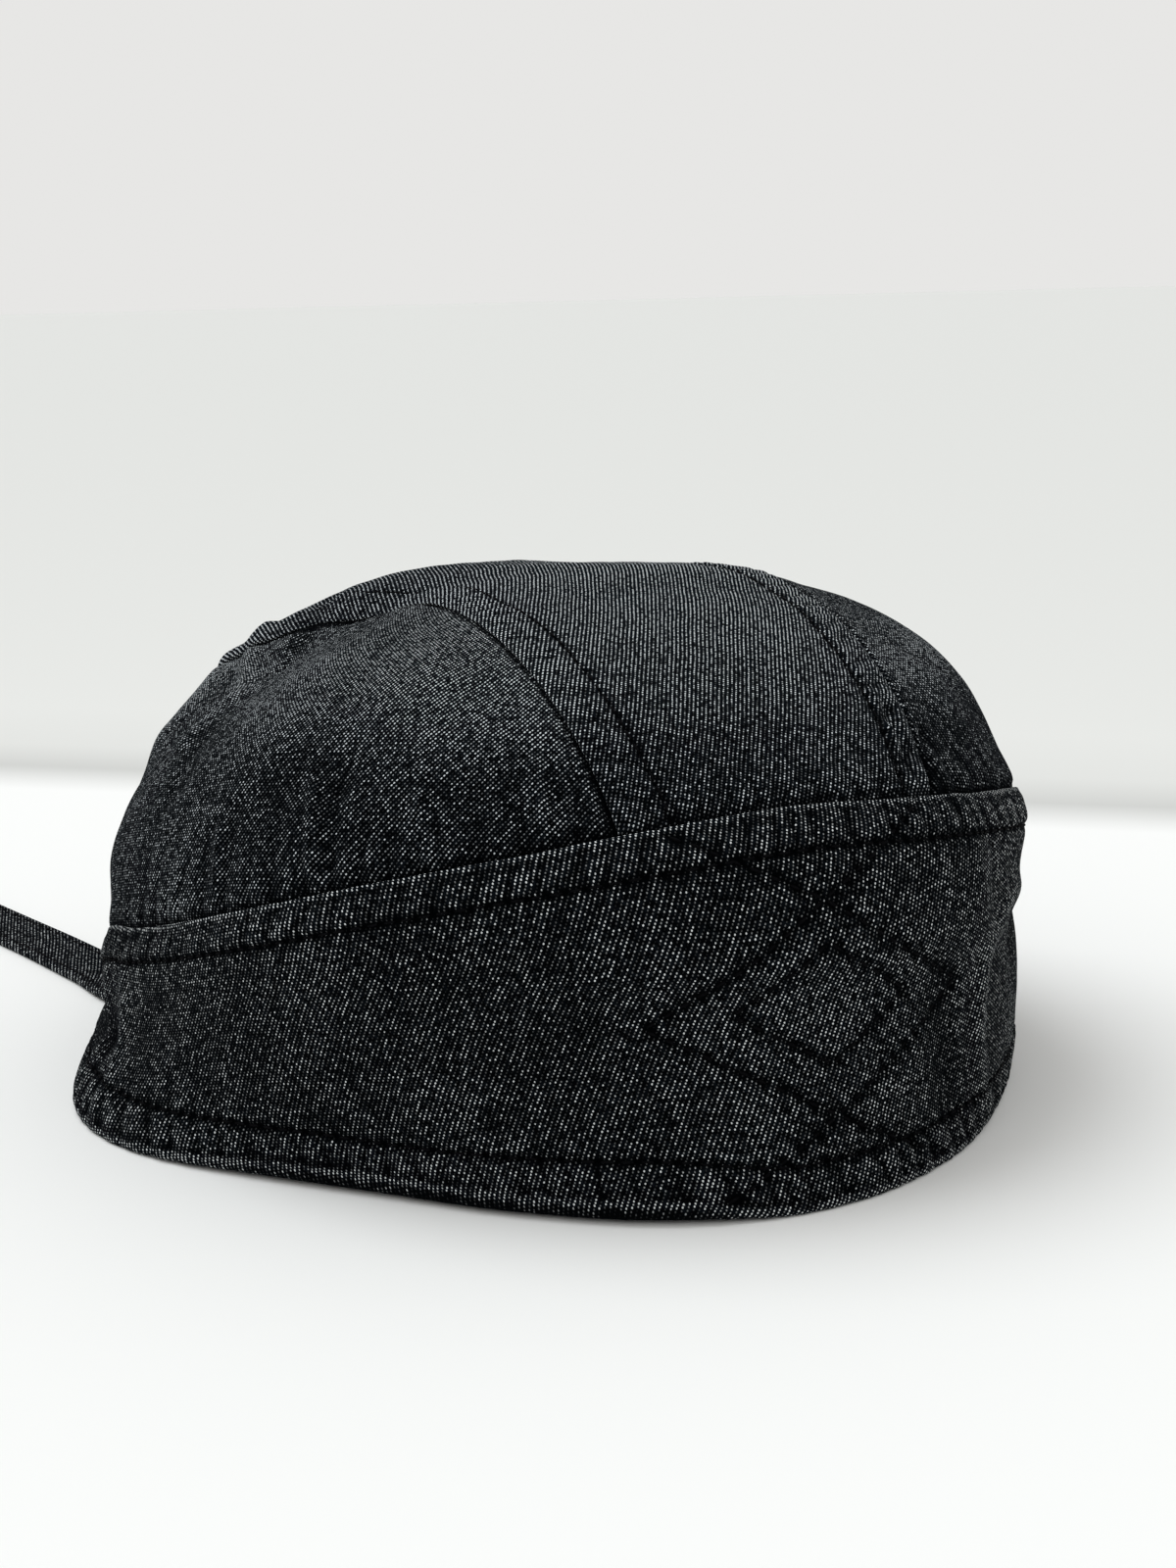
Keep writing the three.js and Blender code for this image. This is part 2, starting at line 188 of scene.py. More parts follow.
HEM_LIFT = 2.6  # how far the rim stands off the surface in front, on the wearer's right
HEM_RISE = (-84, -50)  # angles over which it rises
HEM_FALL = (-18, -4)  # angles over which it comes down again

# The quilted ornament in front: corners as distance from the middle and height, in order along the thread.
ORNAMENT = {
    "chevron to the left": [(-23.4, 61), (0, 49.5), (29.5, 31.3), (0, 14.2), (-24, 1.5)],
    "chevron to the right": [(26, 61), (0, 49.5), (-29.5, 31.3), (0, 14.2), (24, 1.5)],
    "inner diamond": [(0, 43.4), (16, 32.6), (0, 22.6), (-16, 32.6), (0, 43.4)],
}


# ---- Smooth reading of the tables ----


def smooth(value, low, high):
    """0 below low, 1 above high, and a smooth rise between them."""
    share = np.clip((value - low) / (high - low), 0, 1)
    return share * share * (3 - 2 * share)


def hermite(start, end, slope_start, slope_end, share):
    """A smooth curve from start to end with a set slope at each, at a share of the way."""
    s2, s3 = share**2, share**3
    ends = (2 * s3 - 3 * s2 + 1) * start + (3 * s2 - 2 * s3) * end
    slopes = (s3 - 2 * s2 + share) * slope_start + (s3 - s2) * slope_end
    return ends + slopes


def cubic(before, start, end, after, share):
    """A smooth curve through a table's rows, at a share of the way from start to end."""
    return hermite(start, end, (end - before) / 2, (after - start) / 2, share)


def around(column, angle):
    """A column of ROUND at any angle."""
    values = ROUND[column]
    place = (np.asarray(angle, float) + 180) % 360 / ROW_STEP
    row = np.floor(place).astype(int)
    at = [values[(row + k) % len(values)] for k in (-1, 0, 1, 2)]
    return cubic(*at, place - row)


def seam_offset(side, turn):
    """Distance of the centre strip's edge from the middle plane."""
    values = SEAMS[side]
    last = len(values) - 1
    place = np.clip(np.asarray(turn, float) / SEAM_STEP, 0, last)
    row = np.minimum(np.floor(place).astype(int), last - 1)
    at = [values[np.clip(row + k, 0, last)] for k in (-1, 0, 1, 2)]
    return cubic(*at, place - row)


def fold_depth(angle, height):
    """How far the broad folds stand out at an angle and height."""
    total = 0
    for fold in FOLDS:
        across = ((angle - fold["angle"] + 180) % 360 - 180) / fold["wide"]
        up = (height - fold["height"]) / fold["tall"]
        total = total + fold["deep"] * np.exp(-(across**2) - up**2)
    return total


# ---- Lines and directions ----


def unit(vectors):
    """Vectors of the same directions, of length 1."""
    return vectors / np.maximum(np.linalg.norm(vectors, axis=-1, keepdims=True), 1e-9)


def lengths_along(points):
    """How far along a line of points each of them lies."""
    return np.concatenate([[0], np.cumsum(np.linalg.norm(np.diff(points, axis=0), axis=-1))])


def distance_to_line(points, corners):
    """Distance from points to the nearest part of an open line of corners."""
    nearest = np.full(points.shape[:-1], np.inf)
    for start, end in zip(corners[:-1], corners[1:]):
        way = end - start
        share = np.clip(((points - start) @ way) / (way @ way), 0, 1)
        nearest = np.minimum(nearest, np.linalg.norm(points - start - share[..., None] * way, axis=-1))
    return nearest


def even_shares(start, end, length, spacing=1.0):
    """Even values from start to end, one for each spacing along a length."""
    return np.linspace(start, end, max(int(length / spacing), 3))


def turning_point(low, high, test):
    """For each place, the value between low and high where the test turns from false to true."""
    start, end = np.array(low, float), np.array(high, float)
    for _ in range(24):
        middle = (start + end) / 2
        passed = test(middle)
        end = np.where(passed, middle, end)
        start = np.where(passed, start, middle)
    return end


def angle_of(point):
    """The angle round the cap at which a point lies."""
    return np.degrees(np.arctan2(point[..., 0], -point[..., 1]))


def rise_of(point):
    """How steeply a point lies up or down from the waist's centre."""
    return np.degrees(np.arctan2(point[..., 2] - WAIST_HEIGHT, np.hypot(point[..., 0], point[..., 1])))


def turn_of(point):
    """How far over the top a point lies, from the front, as seen from the side."""
    return np.degrees(np.arctan2(point[..., 2] - WAIST_HEIGHT, -point[..., 1]))


# ---- The cap's inner face ----


def wall_radius(angle, height):
    """Distance of the face from the middle line, at an angle and height."""
    waist = around("waist", angle)
    power = around("round", angle)
    down = np.clip((WAIST_HEIGHT - height) / WAIST_HEIGHT, 0, 1)
    below = waist + (around("rim", angle) - waist) * down**RIM_FLARE_POWER
    up = np.clip((height - WAIST_HEIGHT) / DOME_HEIGHT, 0, 1)
    above = waist * np.maximum(1 - up**power, 0) ** (1 / power)
    return np.where(height < WAIST_HEIGHT, below, above) + fold_depth(angle, height)


def point_at(angle, radius, height):
    """The point at an angle, a distance from the middle line and a height."""
    turn = np.radians(angle)
    return np.stack([radius * np.sin(turn), -radius * np.cos(turn), height + 0 * radius], axis=-1)


def wall_point(angle, height):
    """The face at an angle and height."""
    return point_at(angle, wall_radius(angle, height), height)


def angle_for(x, height):
    """The angle where the wall at a height lies at a sideways distance from the middle."""
    angle = np.degrees(np.arcsin(x / ROUND["waist"].max()))
    for _ in range(6):
        angle = np.degrees(np.arcsin(np.clip(x / wall_radius(angle, height), -1, 1)))
    return angle


def face_point(angle, rise):
    """The face in a direction seen from the waist's centre: round the cap, and up or down."""
    waist = around("waist", angle)
    power = around("round", angle)
    steep = np.radians(np.clip(rise, 0, 90))
    reach = ((np.cos(steep) / waist) ** power + (np.sin(steep) / DOME_HEIGHT) ** power) ** (-1 / power)
    height = WAIST_HEIGHT + reach * np.sin(steep)
    radius = reach * np.cos(steep)
    dome = point_at(angle, radius + fold_depth(angle, height) * np.minimum(radius / FOLD_FADE, 1), height)
    slope = np.tan(np.radians(np.minimum(rise, 0)))
    radius = waist
    for _ in range(8):
        radius = wall_radius(angle, np.maximum(0, WAIST_HEIGHT + radius * slope))
    wall = point_at(angle, radius, np.maximum(0, WAIST_HEIGHT + radius * slope))
    return np.where((rise >= 0)[..., None], dome, wall)


def face_towards(way):
    """The face in a direction of length 1 from the waist's centre."""
    return face_point(angle_of(way), np.degrees(np.arcsin(np.clip(way[..., 2], -1, 1))))


def over_point(turn, lean):
    """The face seen from the waist's centre by the turn over the top, and the lean to one side."""
    side, middle = np.sin(np.radians(lean)), np.cos(np.radians(lean))
    front, up = middle * np.cos(np.radians(turn)), middle * np.sin(np.radians(turn))
    return face_towards(np.stack([side, -front, up], axis=-1))


def strip_point(turn, offset):
    """The face at a set distance from the middle plane."""
    centre = np.array([0, 0, WAIST_HEIGHT])
    lean = np.zeros(np.broadcast(turn, offset).shape)
    for _ in range(7):
        reach = np.linalg.norm(over_point(turn, lean) - centre, axis=-1)
        lean = np.degrees(np.arcsin(np.clip(offset / reach, -0.99, 0.99)))
    return over_point(turn, lean)


def crown_edge(angle):
    """Height of the crown's lower edge, behind the band."""
    return np.maximum(0, around("band", angle) - BAND_LAP)


def above_band(angle, height):
    """Height above the band's top edge, or above the rim behind the band's ends."""
    return height - around("band", angle)


def hem_lift(angle):
    """How far the rim stands off the surface."""
    return HEM_LIFT * smooth(angle, *HEM_RISE) * (1 - smooth(angle, *HEM_FALL))


ARC_HEIGHT = 30.0
ARC_ANGLES = np.linspace(-180, 180, 721)
ARC_LENGTHS = lengths_along(wall_point(ARC_ANGLES, np.full(len(ARC_ANGLES), ARC_HEIGHT)))


def round_arc(angle):
    """Length round the wall from the back, at an angle."""
    return np.interp(angle, ARC_ANGLES, ARC_LENGTHS)


# ---- Small relief ----


class Waves:
    """Smooth random heights from -1 to 1 over a plane, in cells. The same seed gives the same heights."""

    SIZE = 97  # cells each way before the heights repeat

    def __init__(self, seed):
        self.heights = np.random.default_rng(seed).uniform(-1, 1, (self.SIZE, self.SIZE))

    def at(self, x, y):
        """Heights at places given in cells."""
        x, y = np.broadcast_arrays(np.asarray(x, float), np.asarray(y, float))
        column, row = np.floor(x).astype(int), np.floor(y).astype(int)
        across, up = smooth(x - column, 0, 1), smooth(y - row, 0, 1)

        def corner(i, j):
            return self.heights[(column + i) % self.SIZE, (row + j) % self.SIZE]

        low = corner(0, 0) * (1 - across) + corner(1, 0) * across
        high = corner(0, 1) * (1 - across) + corner(1, 1) * across
        return low * (1 - up) + high * up


def layered(waves, along, across, layers):
    """Waves of several sizes on top of each other, as the tables below give them."""
    return sum(high * waves.at(along / long + x, across / wide + y) for high, long, wide, x, y in layers)


# The cloth's own unevenness, in layers of waves: how high each one is, how long and how wide its cells are in
# millimetres (in degrees over the top, for the centre strip's length), and its place in the random heights.
SLOW_WAVES = {
    "band": [(0.6, 19, 16, 5, 0), (0.3, 8, 11, 0, 40)],
    "side": [(0.75, 23, 19, 11, 0), (0.35, 9, 12, 50, 8)],
    "centre": [(0.7, 17, 21, 0, 3), (0.3, 7, 9, 30, 0)],
}
ROUGH_WAVES = {
    "band": [(1, 3.1, 4.2, 60, 20)],
    "side": [(1, 3.3, 3.6, 40, 30)],
    "centre": [(1, 2.9, 3.4, 12, 60)],
}
EDGE_GATHERS, HEM_GATHERS, BAND_WAVES, CROWN_WAVES = (Waves(seed) for seed in (11, 23, 37, 53))


def gathers(along, across, pitch, waves, slant=0.35):
    """Gathers of a sewn strip, from -1 in a narrow valley to 1 on a broad crest."""
    # They stray to and fro over every two gathers, and a little at each one.
    wander = 0.55 * waves.at(along / (2.2 * pitch), across / 40)
    wander = wander + 0.18 * waves.at(along / pitch, across / 14 + 9)
    wave = np.abs(np.sin(np.pi * (along / pitch + slant * across / pitch + wander)))
    strength = 0.68 + 0.32 * waves.at(along / (1.7 * pitch), 31.5 + across / 50)
    return (2 * wave**0.75 - 1) * strength


def groove(distance, width):
    """1 on a line, and 0 away from it."""
    return np.exp(-((distance / width) ** 2))


def creases(points):
    """How far the soft creases and ridges stand out at points of the face."""
    total = np.zeros(points.shape[:-1])
    for _, places, wide, deep in CREASES:
        total += deep * groove(distance_to_line(points, wall_point(*np.array(places, float).T)), wide)
    return total


def distance_to_ornament(x, height):
    """Distance on the band to the ornament's nearest line."""
    spots = np.stack([x, height], axis=-1)
    return np.min([distance_to_line(spots, np.array(line)) for line in ORNAMENT.values()], axis=0)


class SewnStrip:
    """A gathered strip between a folded edge and its topstitch. It swells from start to full, and sinks over
    the last stretch before the stitches. Past them its gathers resume, and run on as they die away. row is
    the width of the dent along the stitches."""

    def __init__(self, stitch, start, full, sink, resume, run_on, row):
        self.stitch, self.start, self.full, self.sink = stitch, start, full, sink
        self.resume, self.run_on, self.row = resume, run_on, row

    def at(self, inset):
        """From 0 to 1: where the strip is, where its gathers run on, and where its row of stitches is."""
        strip = smooth(inset, self.start, self.full)
        strip = strip * (1 - smooth(inset, self.stitch - self.sink, self.stitch))
        tail = smooth(inset, self.stitch, self.stitch + self.resume)
        tail = tail * np.exp(-np.maximum(inset - self.stitch, 0) / self.run_on)
        return strip, tail, groove(inset - self.stitch, self.row)


BAND_EDGE = SewnStrip(EDGE_STITCH, start=0.3, full=2, sink=1.3, resume=1.5, run_on=5, row=0.5)
BAND_HEM = SewnStrip(HEM_STITCH, start=0.3, full=2, sink=1.3, resume=1.5, run_on=5, row=0.5)
CROWN_SEAM = SewnStrip(SEAM_STITCH, start=0.3, full=2, sink=1.4, resume=2, run_on=6, row=0.6)
CROWN_HEM = SewnStrip(HEM_STITCH, start=0.2, full=1.8, sink=1.2, resume=2, run_on=14, row=0.55)


def pulled_in(rows, holes):
    """How deep rows of stitches and needle holes pull the cloth in."""
    return bpy.context.scene.cap_cloth.stitch_sink * (0.45 * rows + 0.8 * holes)


# How much lighter each thing makes a cloth, or darker where negative. Crests of gathers, pleats and creases
# are lighter, partly as wear and partly as painted highlight. Their valleys, rows of stitches, needle holes
# and the band_shade and seam_shade lines are painted shade, and top is painted light from above with fading.
# A pair is for crests and for valleys.
WEAR_AND_SHADE = {
    "band": {"slow": 0.4, "rough": 0.4, "press": (1.1, 0.8), "edge": (1.1, 2.1), "hem": (1.0, 2.2),
             "drag": (0.8, 1.6), "rows": -0.7, "holes": -2.2},
    "side": {"slow": 0.3, "rough": 0.4, "press": (0.9, 0.45), "pleats": (0.9, 1.5), "drag": 0.3,
             "top": 0.6, "band_shade": -1.6, "seam_shade": -2.0, "holes": -2.2},
    "centre": {"slow": 0.35, "rough": 0.35, "press": (0.9, 0.5), "pleats": (0.8, 1.5), "gathers": (0.8, 1.8),
               "rows": -0.5, "fold": 0.8, "top": 1.0, "band_shade": -1.6, "holes": -2.2},
    "hem": {"gathers": (0.35, 1.1), "rows": -0.9},
    "tie": {"gathers": (0.3, 0.9), "rows": -0.9, "fold": 0.7},
}


def worn_and_shaded(cloth, **things):
    """How worn a cloth is and how much painted light and shade lies on it, from the things that wear it or
    are painted dark as shade.
    """
    total = 0
    for name, thing in things.items():
        crest, valley = np.broadcast_to(WEAR_AND_SHADE[cloth][name], 2)
        total = total + np.where(thing > 0, crest, valley) * thing
    return total


# ---- Cloth: a closed wall that follows a face ----


class Cloth:
    """A wall of cloth. face(a, b) gives its points in millimetres, and layers(a, b, points) how far its inner
    and outer side stand off them, and how worn its outside is with its painted light and shade."""

    STEP = 0.02  # to either side of a place, to find the face's slope there

    def __init__(self, face, layers):
        self.face, self.layers = face, layers
        self.rows, self.holes = [], []

    def sew(self, a, b, bold=1.0):
        """Lays one row of stitches along a line of places, and keeps each one's middle and needle holes. A
        bold row has thicker and longer stitches, which press the cloth in all along."""
        pitch = bpy.context.scene.cap_stitches.pitch * bold**BOLD_STRETCH
        run = lengths_along(self.face(a, b))
        ends = np.linspace(0, run[-1], max(round(run[-1] / pitch), 2) + 1)
        middles = (ends[1:] + ends[:-1]) / 2
        self.rows.append((np.interp(middles, run, a), np.interp(middles, run, b), bold))
        pits = middles if bold > 1 else ends
        self.holes += [(*hole, HOLE_WIDTH * bold) for hole in
                       self.face(np.interp(pits, run, a), np.interp(pits, run, b)).tolist()]

    def holes_at(self, points):
        """1 in a needle hole, and 0 away from it."""
        tree = KDTree(len(self.holes))
        for number, hole in enumerate(self.holes):
            tree.insert(hole[:3], number)
        tree.balance()
        found = [tree.find(point)[1:] for point in points.reshape(-1, 3)]
        share = [groove(distance, self.holes[number][3]) for number, distance in found]
        return np.reshape(share, points.shape[:-1])

    def outward(self, a, b):
        """Directions out of the face, which turn level towards the rim so that the rim stays flat."""
        here = self.face(a, b)
        along = self.face(a + self.STEP, b) - self.face(a - self.STEP, b)
        across = self.face(a, b + self.STEP) - self.face(a, b - self.STEP)
        normal = unit(np.cross(along, across))
        out = np.sum(normal * (here - [0, 0, WAIST_HEIGHT / 2]), axis=-1, keepdims=True)
        normal = np.where(out < 0, -normal, normal)
        normal[..., 2] *= smooth(here[..., 2], 0, LEVEL_HEIGHT)
        return here, unit(normal)

    def outside(self, a, b, lift):
        """Points that stand off the outer side by a lift, and the directions out of it."""
        here, normal = self.outward(a, b)
        outer = self.layers(a, b, here)[1]
        return here + normal * (outer + lift)[..., None], normal


def quads_between(number, after):
    """Quads between columns of point numbers and the columns after them."""
    return np.stack([number[:-1], number[1:], after[1:], after[:-1]], axis=-1).reshape(-1, 4)


def grid_faces(first, rows, columns, turned):
    """Quads of a grid of points whose numbers start at first."""
    number = first + np.arange(rows * columns).reshape(rows, columns)
    quads = quads_between(number[:, :-1], number[:, 1:])
    return quads[:, ::-1] if turned else quads


def rim_loop(rows, columns):
    """Numbers of a grid's outermost points, once round."""
    number = np.arange(rows * columns).reshape(rows, columns)
    return np.concatenate([number[:-1, 0], number[-1, :-1], number[:0:-1, -1], number[0, :0:-1]])


def arc_grid(points, middle_row, middle_column):
    """Distances along the cloth for each point of a grid, from its middle row and column."""
    along = np.zeros(points.shape[:2])
    across = np.zeros(points.shape[:2])
    along[1:] = np.cumsum(np.linalg.norm(np.diff(points, axis=0), axis=-1), axis=0)
    across[:, 1:] = np.cumsum(np.linalg.norm(np.diff(points, axis=1), axis=-1), axis=1)
    return along - along[middle_row], across - across[:, middle_column : middle_column + 1]


def flat_map(angle, rise, middle, steps=15):
    """Places on flat cloth for a patch of the crown: how far, and which way, each lies from the middle."""

    def direction(a, r):
        a, r = np.radians(a), np.radians(r)
        return np.stack([np.cos(r) * np.sin(a), -np.cos(r) * np.cos(a), np.sin(r)], axis=-1)

    turn, tilt = np.radians(middle)
    home = direction(*middle)
    ahead = direction(angle, rise)
    apart = np.arccos(np.clip(ahead @ home, -1, 1))[..., None]
    wide = np.maximum(np.sin(apart), 1e-6)
    line = [face_towards((home * np.sin((1 - share) * apart) + ahead * np.sin(share * apart)) / wide)
            for share in np.linspace(0, 1, steps)]
    far = np.sum(np.linalg.norm(np.diff(line, axis=0), axis=-1), axis=0)
    bearing = (ahead - home * np.cos(apart)) / wide
    sideways = bearing @ np.array([math.cos(turn), math.sin(turn), 0])
    upright = [-math.sin(tilt) * math.sin(turn), math.sin(tilt) * math.cos(turn), math.cos(tilt)]
    return np.stack([far * sideways, far * (bearing @ np.array(upright))], axis=-1)


def refined(values, step):
    """A grid's values with step - 1 more between each two, both ways."""
    for axis in (0, 1):
        count = values.shape[axis]
        place = np.arange((count - 1) * step + 1) / step
        low = np.minimum(place.astype(int), count - 2)
        share = np.expand_dims(place - low, [k for k in range(values.ndim) if k != axis])
        values = np.take(values, low, axis) * (1 - share) + np.take(values, low + 1, axis) * share
    return values


def solid_mesh(name, points, quads, triangles, uv, fade):
    """A mesh in metres with a cloth map in millimetres, and a value of wear and painted shade at each point.
    """
    mesh = bpy.data.meshes.new(name)
    mesh.from_pydata(((points - BOX_MIDDLE) * MM).tolist(), [], quads.tolist() + triangles.tolist())
    layer = mesh.uv_layers.new(name="cloth")
    corners = np.zeros(len(mesh.loops), dtype=np.int32)
    mesh.loops.foreach_get("vertex_index", corners)
    layer.data.foreach_set("uv", uv[corners].astype(np.float32).ravel())
    mesh.attributes.new("fade", "FLOAT", "POINT").data.foreach_set("value", fade.astype(np.float32))
    mesh.shade_smooth()
    mesh.validate()
    made = bpy.data.objects.new(name, mesh)
    bpy.context.scene.collection.objects.link(made)
    turn_outward(made)
    return made


EDGE_RINGS = 4  # rings of points that round a cloth's edge
UNDERSIDE_SHADE = 4.5  # painted shade: how much darker the cloth is painted below a lifted rim
UNDERSIDE_SPREAD = 0.4  # a low power spreads it far round the edge


def cloth_object(name, cloth, a, b, mapped, lowered=0.0):
    """A closed wall over a grid of places, rounded at its edges. Its hidden inner side is coarser. mapped
    gives the cloth map from the face's points, and lowered how far the inner side hangs below the outer."""
    here, normal = cloth.outward(a, b)
    low, high, fade = cloth.layers(a, b, here)
    drop = np.broadcast_to(lowered, a.shape)
    inside = here + normal * low[..., None] - drop[..., None] * [0, 0, 1]
    outside = here + normal * high[..., None]
    uv = mapped(here)
    rows, columns = a.shape
    coarse = (slice(None, None, INNER_STEP), slice(None, None, INNER_STEP))
    inner_rows, inner_columns = inside[coarse].shape[:2]
    loop, inner_loop = rim_loop(rows, columns), rim_loop(inner_rows, inner_columns)
    half = ((high - low) / 2).reshape(-1)[loop]
    centre = ((inside + outside) / 2).reshape(-1, 3)[loop]
    through = ((outside - inside) / 2).reshape(-1, 3)[loop]
    next_in = np.clip(loop // columns, 1, rows - 2) * columns + np.clip(loop % columns, 1, columns - 2)
    edge_uv = uv.reshape(-1, 2)[loop]
    uv_way = unit(edge_uv - uv.reshape(-1, 2)[next_in])
    hidden = drop.reshape(-1)[loop] / HEM_LIFT
    ahead = np.roll(centre, -1, axis=0) - np.roll(centre, 1, axis=0)
    beyond = unit(np.cross(ahead, normal.reshape(-1, 3)[loop]))
    inward = outside[rows // 2, columns // 2] - centre
    beyond *= np.where(np.sum(beyond * inward, axis=-1) > 0, -1, 1)[:, None]
    parts = [inside[coarse].reshape(-1, 3), outside.reshape(-1, 3)]
    uvs = [uv[coarse].reshape(-1, 2), uv.reshape(-1, 2)]
    wear_and_shade_parts = [fade[coarse].reshape(-1), fade.reshape(-1)]
    for share in np.arange(1, EDGE_RINGS + 1) / (EDGE_RINGS + 1):
        lean = math.pi * (share - 0.5)
        parts.append(centre + through * math.sin(lean) + beyond * (half * math.cos(lean))[:, None])
        uvs.append(edge_uv + uv_way * (half * (math.pi / 2 - lean))[:, None])
        # Below a lifted rim the edge rings are painted darker, as the shade under it.
        wear_and_shade_parts.append(fade.reshape(-1)[loop] - UNDERSIDE_SHADE * hidden * (1 - share) ** UNDERSIDE_SPREAD)
    points = np.concatenate(parts)
    points[:, 2] = np.maximum(points[:, 2], 0)
    inner, count = len(parts[0]), len(loop)
    quads = [grid_faces(0, inner_rows, inner_columns, False), grid_faces(inner, rows, columns, True)]
    first_ring = inner + rows * columns + np.arange(count)
    layers = [first_ring + k * count for k in range(EDGE_RINGS)] + [inner + loop]
    for lower, upper in zip(layers[:-1], layers[1:]):
        quads.append(np.stack([lower, upper, np.roll(upper, -1), np.roll(lower, -1)], axis=-1))
    # The coarse inner side's edge joins the first ring by fans of triangles.
    nearest = ((np.arange(count) + INNER_STEP // 2) // INNER_STEP) % len(inner_loop)
    hub, ring = inner_loop[nearest], layers[0]
    fans = np.stack([hub, ring, np.roll(ring, -1)], axis=-1)
    steps = np.stack([hub, np.roll(ring, -1), np.roll(hub, -1)], axis=-1)[np.roll(nearest, -1) != nearest]
    return solid_mesh(name, points, np.concatenate(quads), np.concatenate([fans, steps]), np.concatenate(uvs),
                      np.concatenate(wear_and_shade_parts))


def turn_outward(made):
    """Turns all faces round if the closed mesh is inside out."""
    mesh = made.data
    mesh.calc_loop_triangles()
    spots = np.array([v.co for v in mesh.vertices])
    corners = np.array([t.vertices for t in mesh.loop_triangles])
    p, q, r = spots[corners[:, 0]], spots[corners[:, 1]], spots[corners[:, 2]]
    if np.sum(p * np.cross(q, r)) < 0:
        mesh.flip_normals()


def along_strip(middle_row, middle_column, turned=False):
    """Reads the cloth map of a strip from distances along its rows and columns."""

    def mapped(points):
        along, across = arc_grid(points, middle_row, middle_column)
        return np.stack([across, along] if turned else [along, across], axis=-1)

    return mapped


# ---- The band ----

UNDER_STRIP_TURN = 10.0  # turn over the top at which the centre strip passes below the band
STRIP_EDGE = (5, 13)  # distances past the strip's edge over which the band comes down off it
STRIP_FOOT = (-18, -8)  # heights about the crown's lower edge over which the band rises onto the strip
ORNAMENT_REACH = 60  # the ornament lies within this angle
BAND_BULK = 0.15  # how far the band's sewn strips stand out
EDGE_THINNING = 0.9  # how much thinner the band is at its folded top edge
EDGE_GAP = 0.45  # from the middle of the band's folded edge to its top
BRIGHT_PATCH = (33, 1.4, 19)  # the ornament's worn middle: its height, how flat and how wide it is


def over_strip(angle, height, point):
    """1 where the centre strip lies under the band."""
    right, left = seam_offset("right", UNDER_STRIP_TURN), seam_offset("left", UNDER_STRIP_TURN)
    beyond = np.abs(point[..., 0]) - np.where(angle < 0, right, left)
    share = np.where(np.abs(angle) > 90, 0, 1 - smooth(beyond, *STRIP_EDGE))
    return share * smooth(height - crown_edge(angle), *STRIP_FOOT)


def band_inner(angle, height, point):
    """How far the band's inner side stands off the face, over one or two layers of the crown."""
    snug_gap = bpy.context.scene.cap_cloth.snug_gap
    snug = snug_gap + (LAYER_GAP - snug_gap) * smooth(-above_band(angle, height), 1, 10)
    return (CLOTH + snug) * (1 + over_strip(angle, height, point))


def band_relief(angle, height, point):
    """Height of the band's outer side above a smooth wall, and how worn it is with its painted light and
    shade.
    """
    settings = bpy.context.scene.cap_cloth
    arc = round_arc(angle)
    top = -above_band(angle, height)
    low = height - hem_lift(angle)
    quilt = np.where(np.abs(angle) < ORNAMENT_REACH, distance_to_ornament(point[..., 0], height), np.inf)
    edge_strip, edge_tail, edge_row = BAND_EDGE.at(top)
    hem_strip, hem_tail, hem_row = BAND_HEM.at(low)
    edge = gathers(arc, top, settings.gather_pitch, EDGE_GATHERS) * (edge_strip + 0.5 * edge_tail)
    hem = gathers(arc, low, settings.gather_pitch * 0.93, HEM_GATHERS) * (hem_strip + 0.45 * hem_tail)
    drag = gathers(arc, height, pitch=3.8, waves=BAND_WAVES, slant=0.9) * groove(quilt, 3.6)
    slow = layered(BAND_WAVES, arc, height, SLOW_WAVES["band"])
    rough = layered(BAND_WAVES, arc, height, ROUGH_WAVES["band"])
    rows = np.maximum(np.maximum(edge_row, hem_row), groove(quilt, 0.6))
    holes = BAND.holes_at(point)
    press = creases(point)
    relief = settings.gather_depth * (edge + hem + 0.5 * drag) + BAND_BULK * (edge_strip + hem_strip)
    relief = relief + (settings.wave_depth * slow + 0.08 * rough) * smooth(top, 0, 8) * smooth(low, 0, 6)
    relief = relief + press * smooth(low, 0, 5) - pulled_in(rows, holes)
    # Crests are lighter as wear and painted highlight; valleys, rows of stitches and needle holes are painted
    # shade.
    fade = worn_and_shaded("band", edge=edge, hem=hem, drag=drag, slow=slow, rough=rough, press=press, rows=rows,
                holes=holes)
    # The band is a little darker away from the front, and lighter in the ornament's middle.
    patch_height, flatness, patch_width = BRIGHT_PATCH
    patch = groove(np.hypot(point[..., 0], flatness * (height - patch_height)), patch_width)
    fade = fade - 0.25 * smooth(np.abs(angle + 15), 45, 80) + 0.6 * patch - 0.15
    # Both folded edges are frayed pale, each with a dark line of painted shade beside it.
    frayed = 0.8 + 0.4 * BAND_WAVES.at(arc / 1.4, 7.5)
    fade = fade * smooth(top, 0.3, 1.2) * smooth(low, 1.2, 2.1)
    fade = fade + frayed * (2.6 * (1 - smooth(top, 0.5, 1.0)) + 2.0 * (1 - smooth(low, 1.5, 1.95)))
    return relief, fade - 0.7 * groove(top - 1.6, 0.6) - 1.1 * groove(low - 2.6, 0.65)


def band_layers(angle, height, point):
    """The band is thinner at its folded top edge than where its turned-in edges lie inside it."""
    inner = band_inner(angle, height, point)
    relief, fade = band_relief(angle, height, point)
    thick = BAND_CLOTH - EDGE_THINNING * (1 - smooth(-above_band(angle, height), 0, 5))
    return inner, inner + thick + relief, fade


BAND = Cloth(wall_point, band_layers)


def eased(count, crowd):
    """Shares from 0 to 1 that lie closer together towards both ends."""
    share = np.linspace(0, 1, count)
    return share - crowd * np.sin(2 * math.pi * share) / (2 * math.pi)


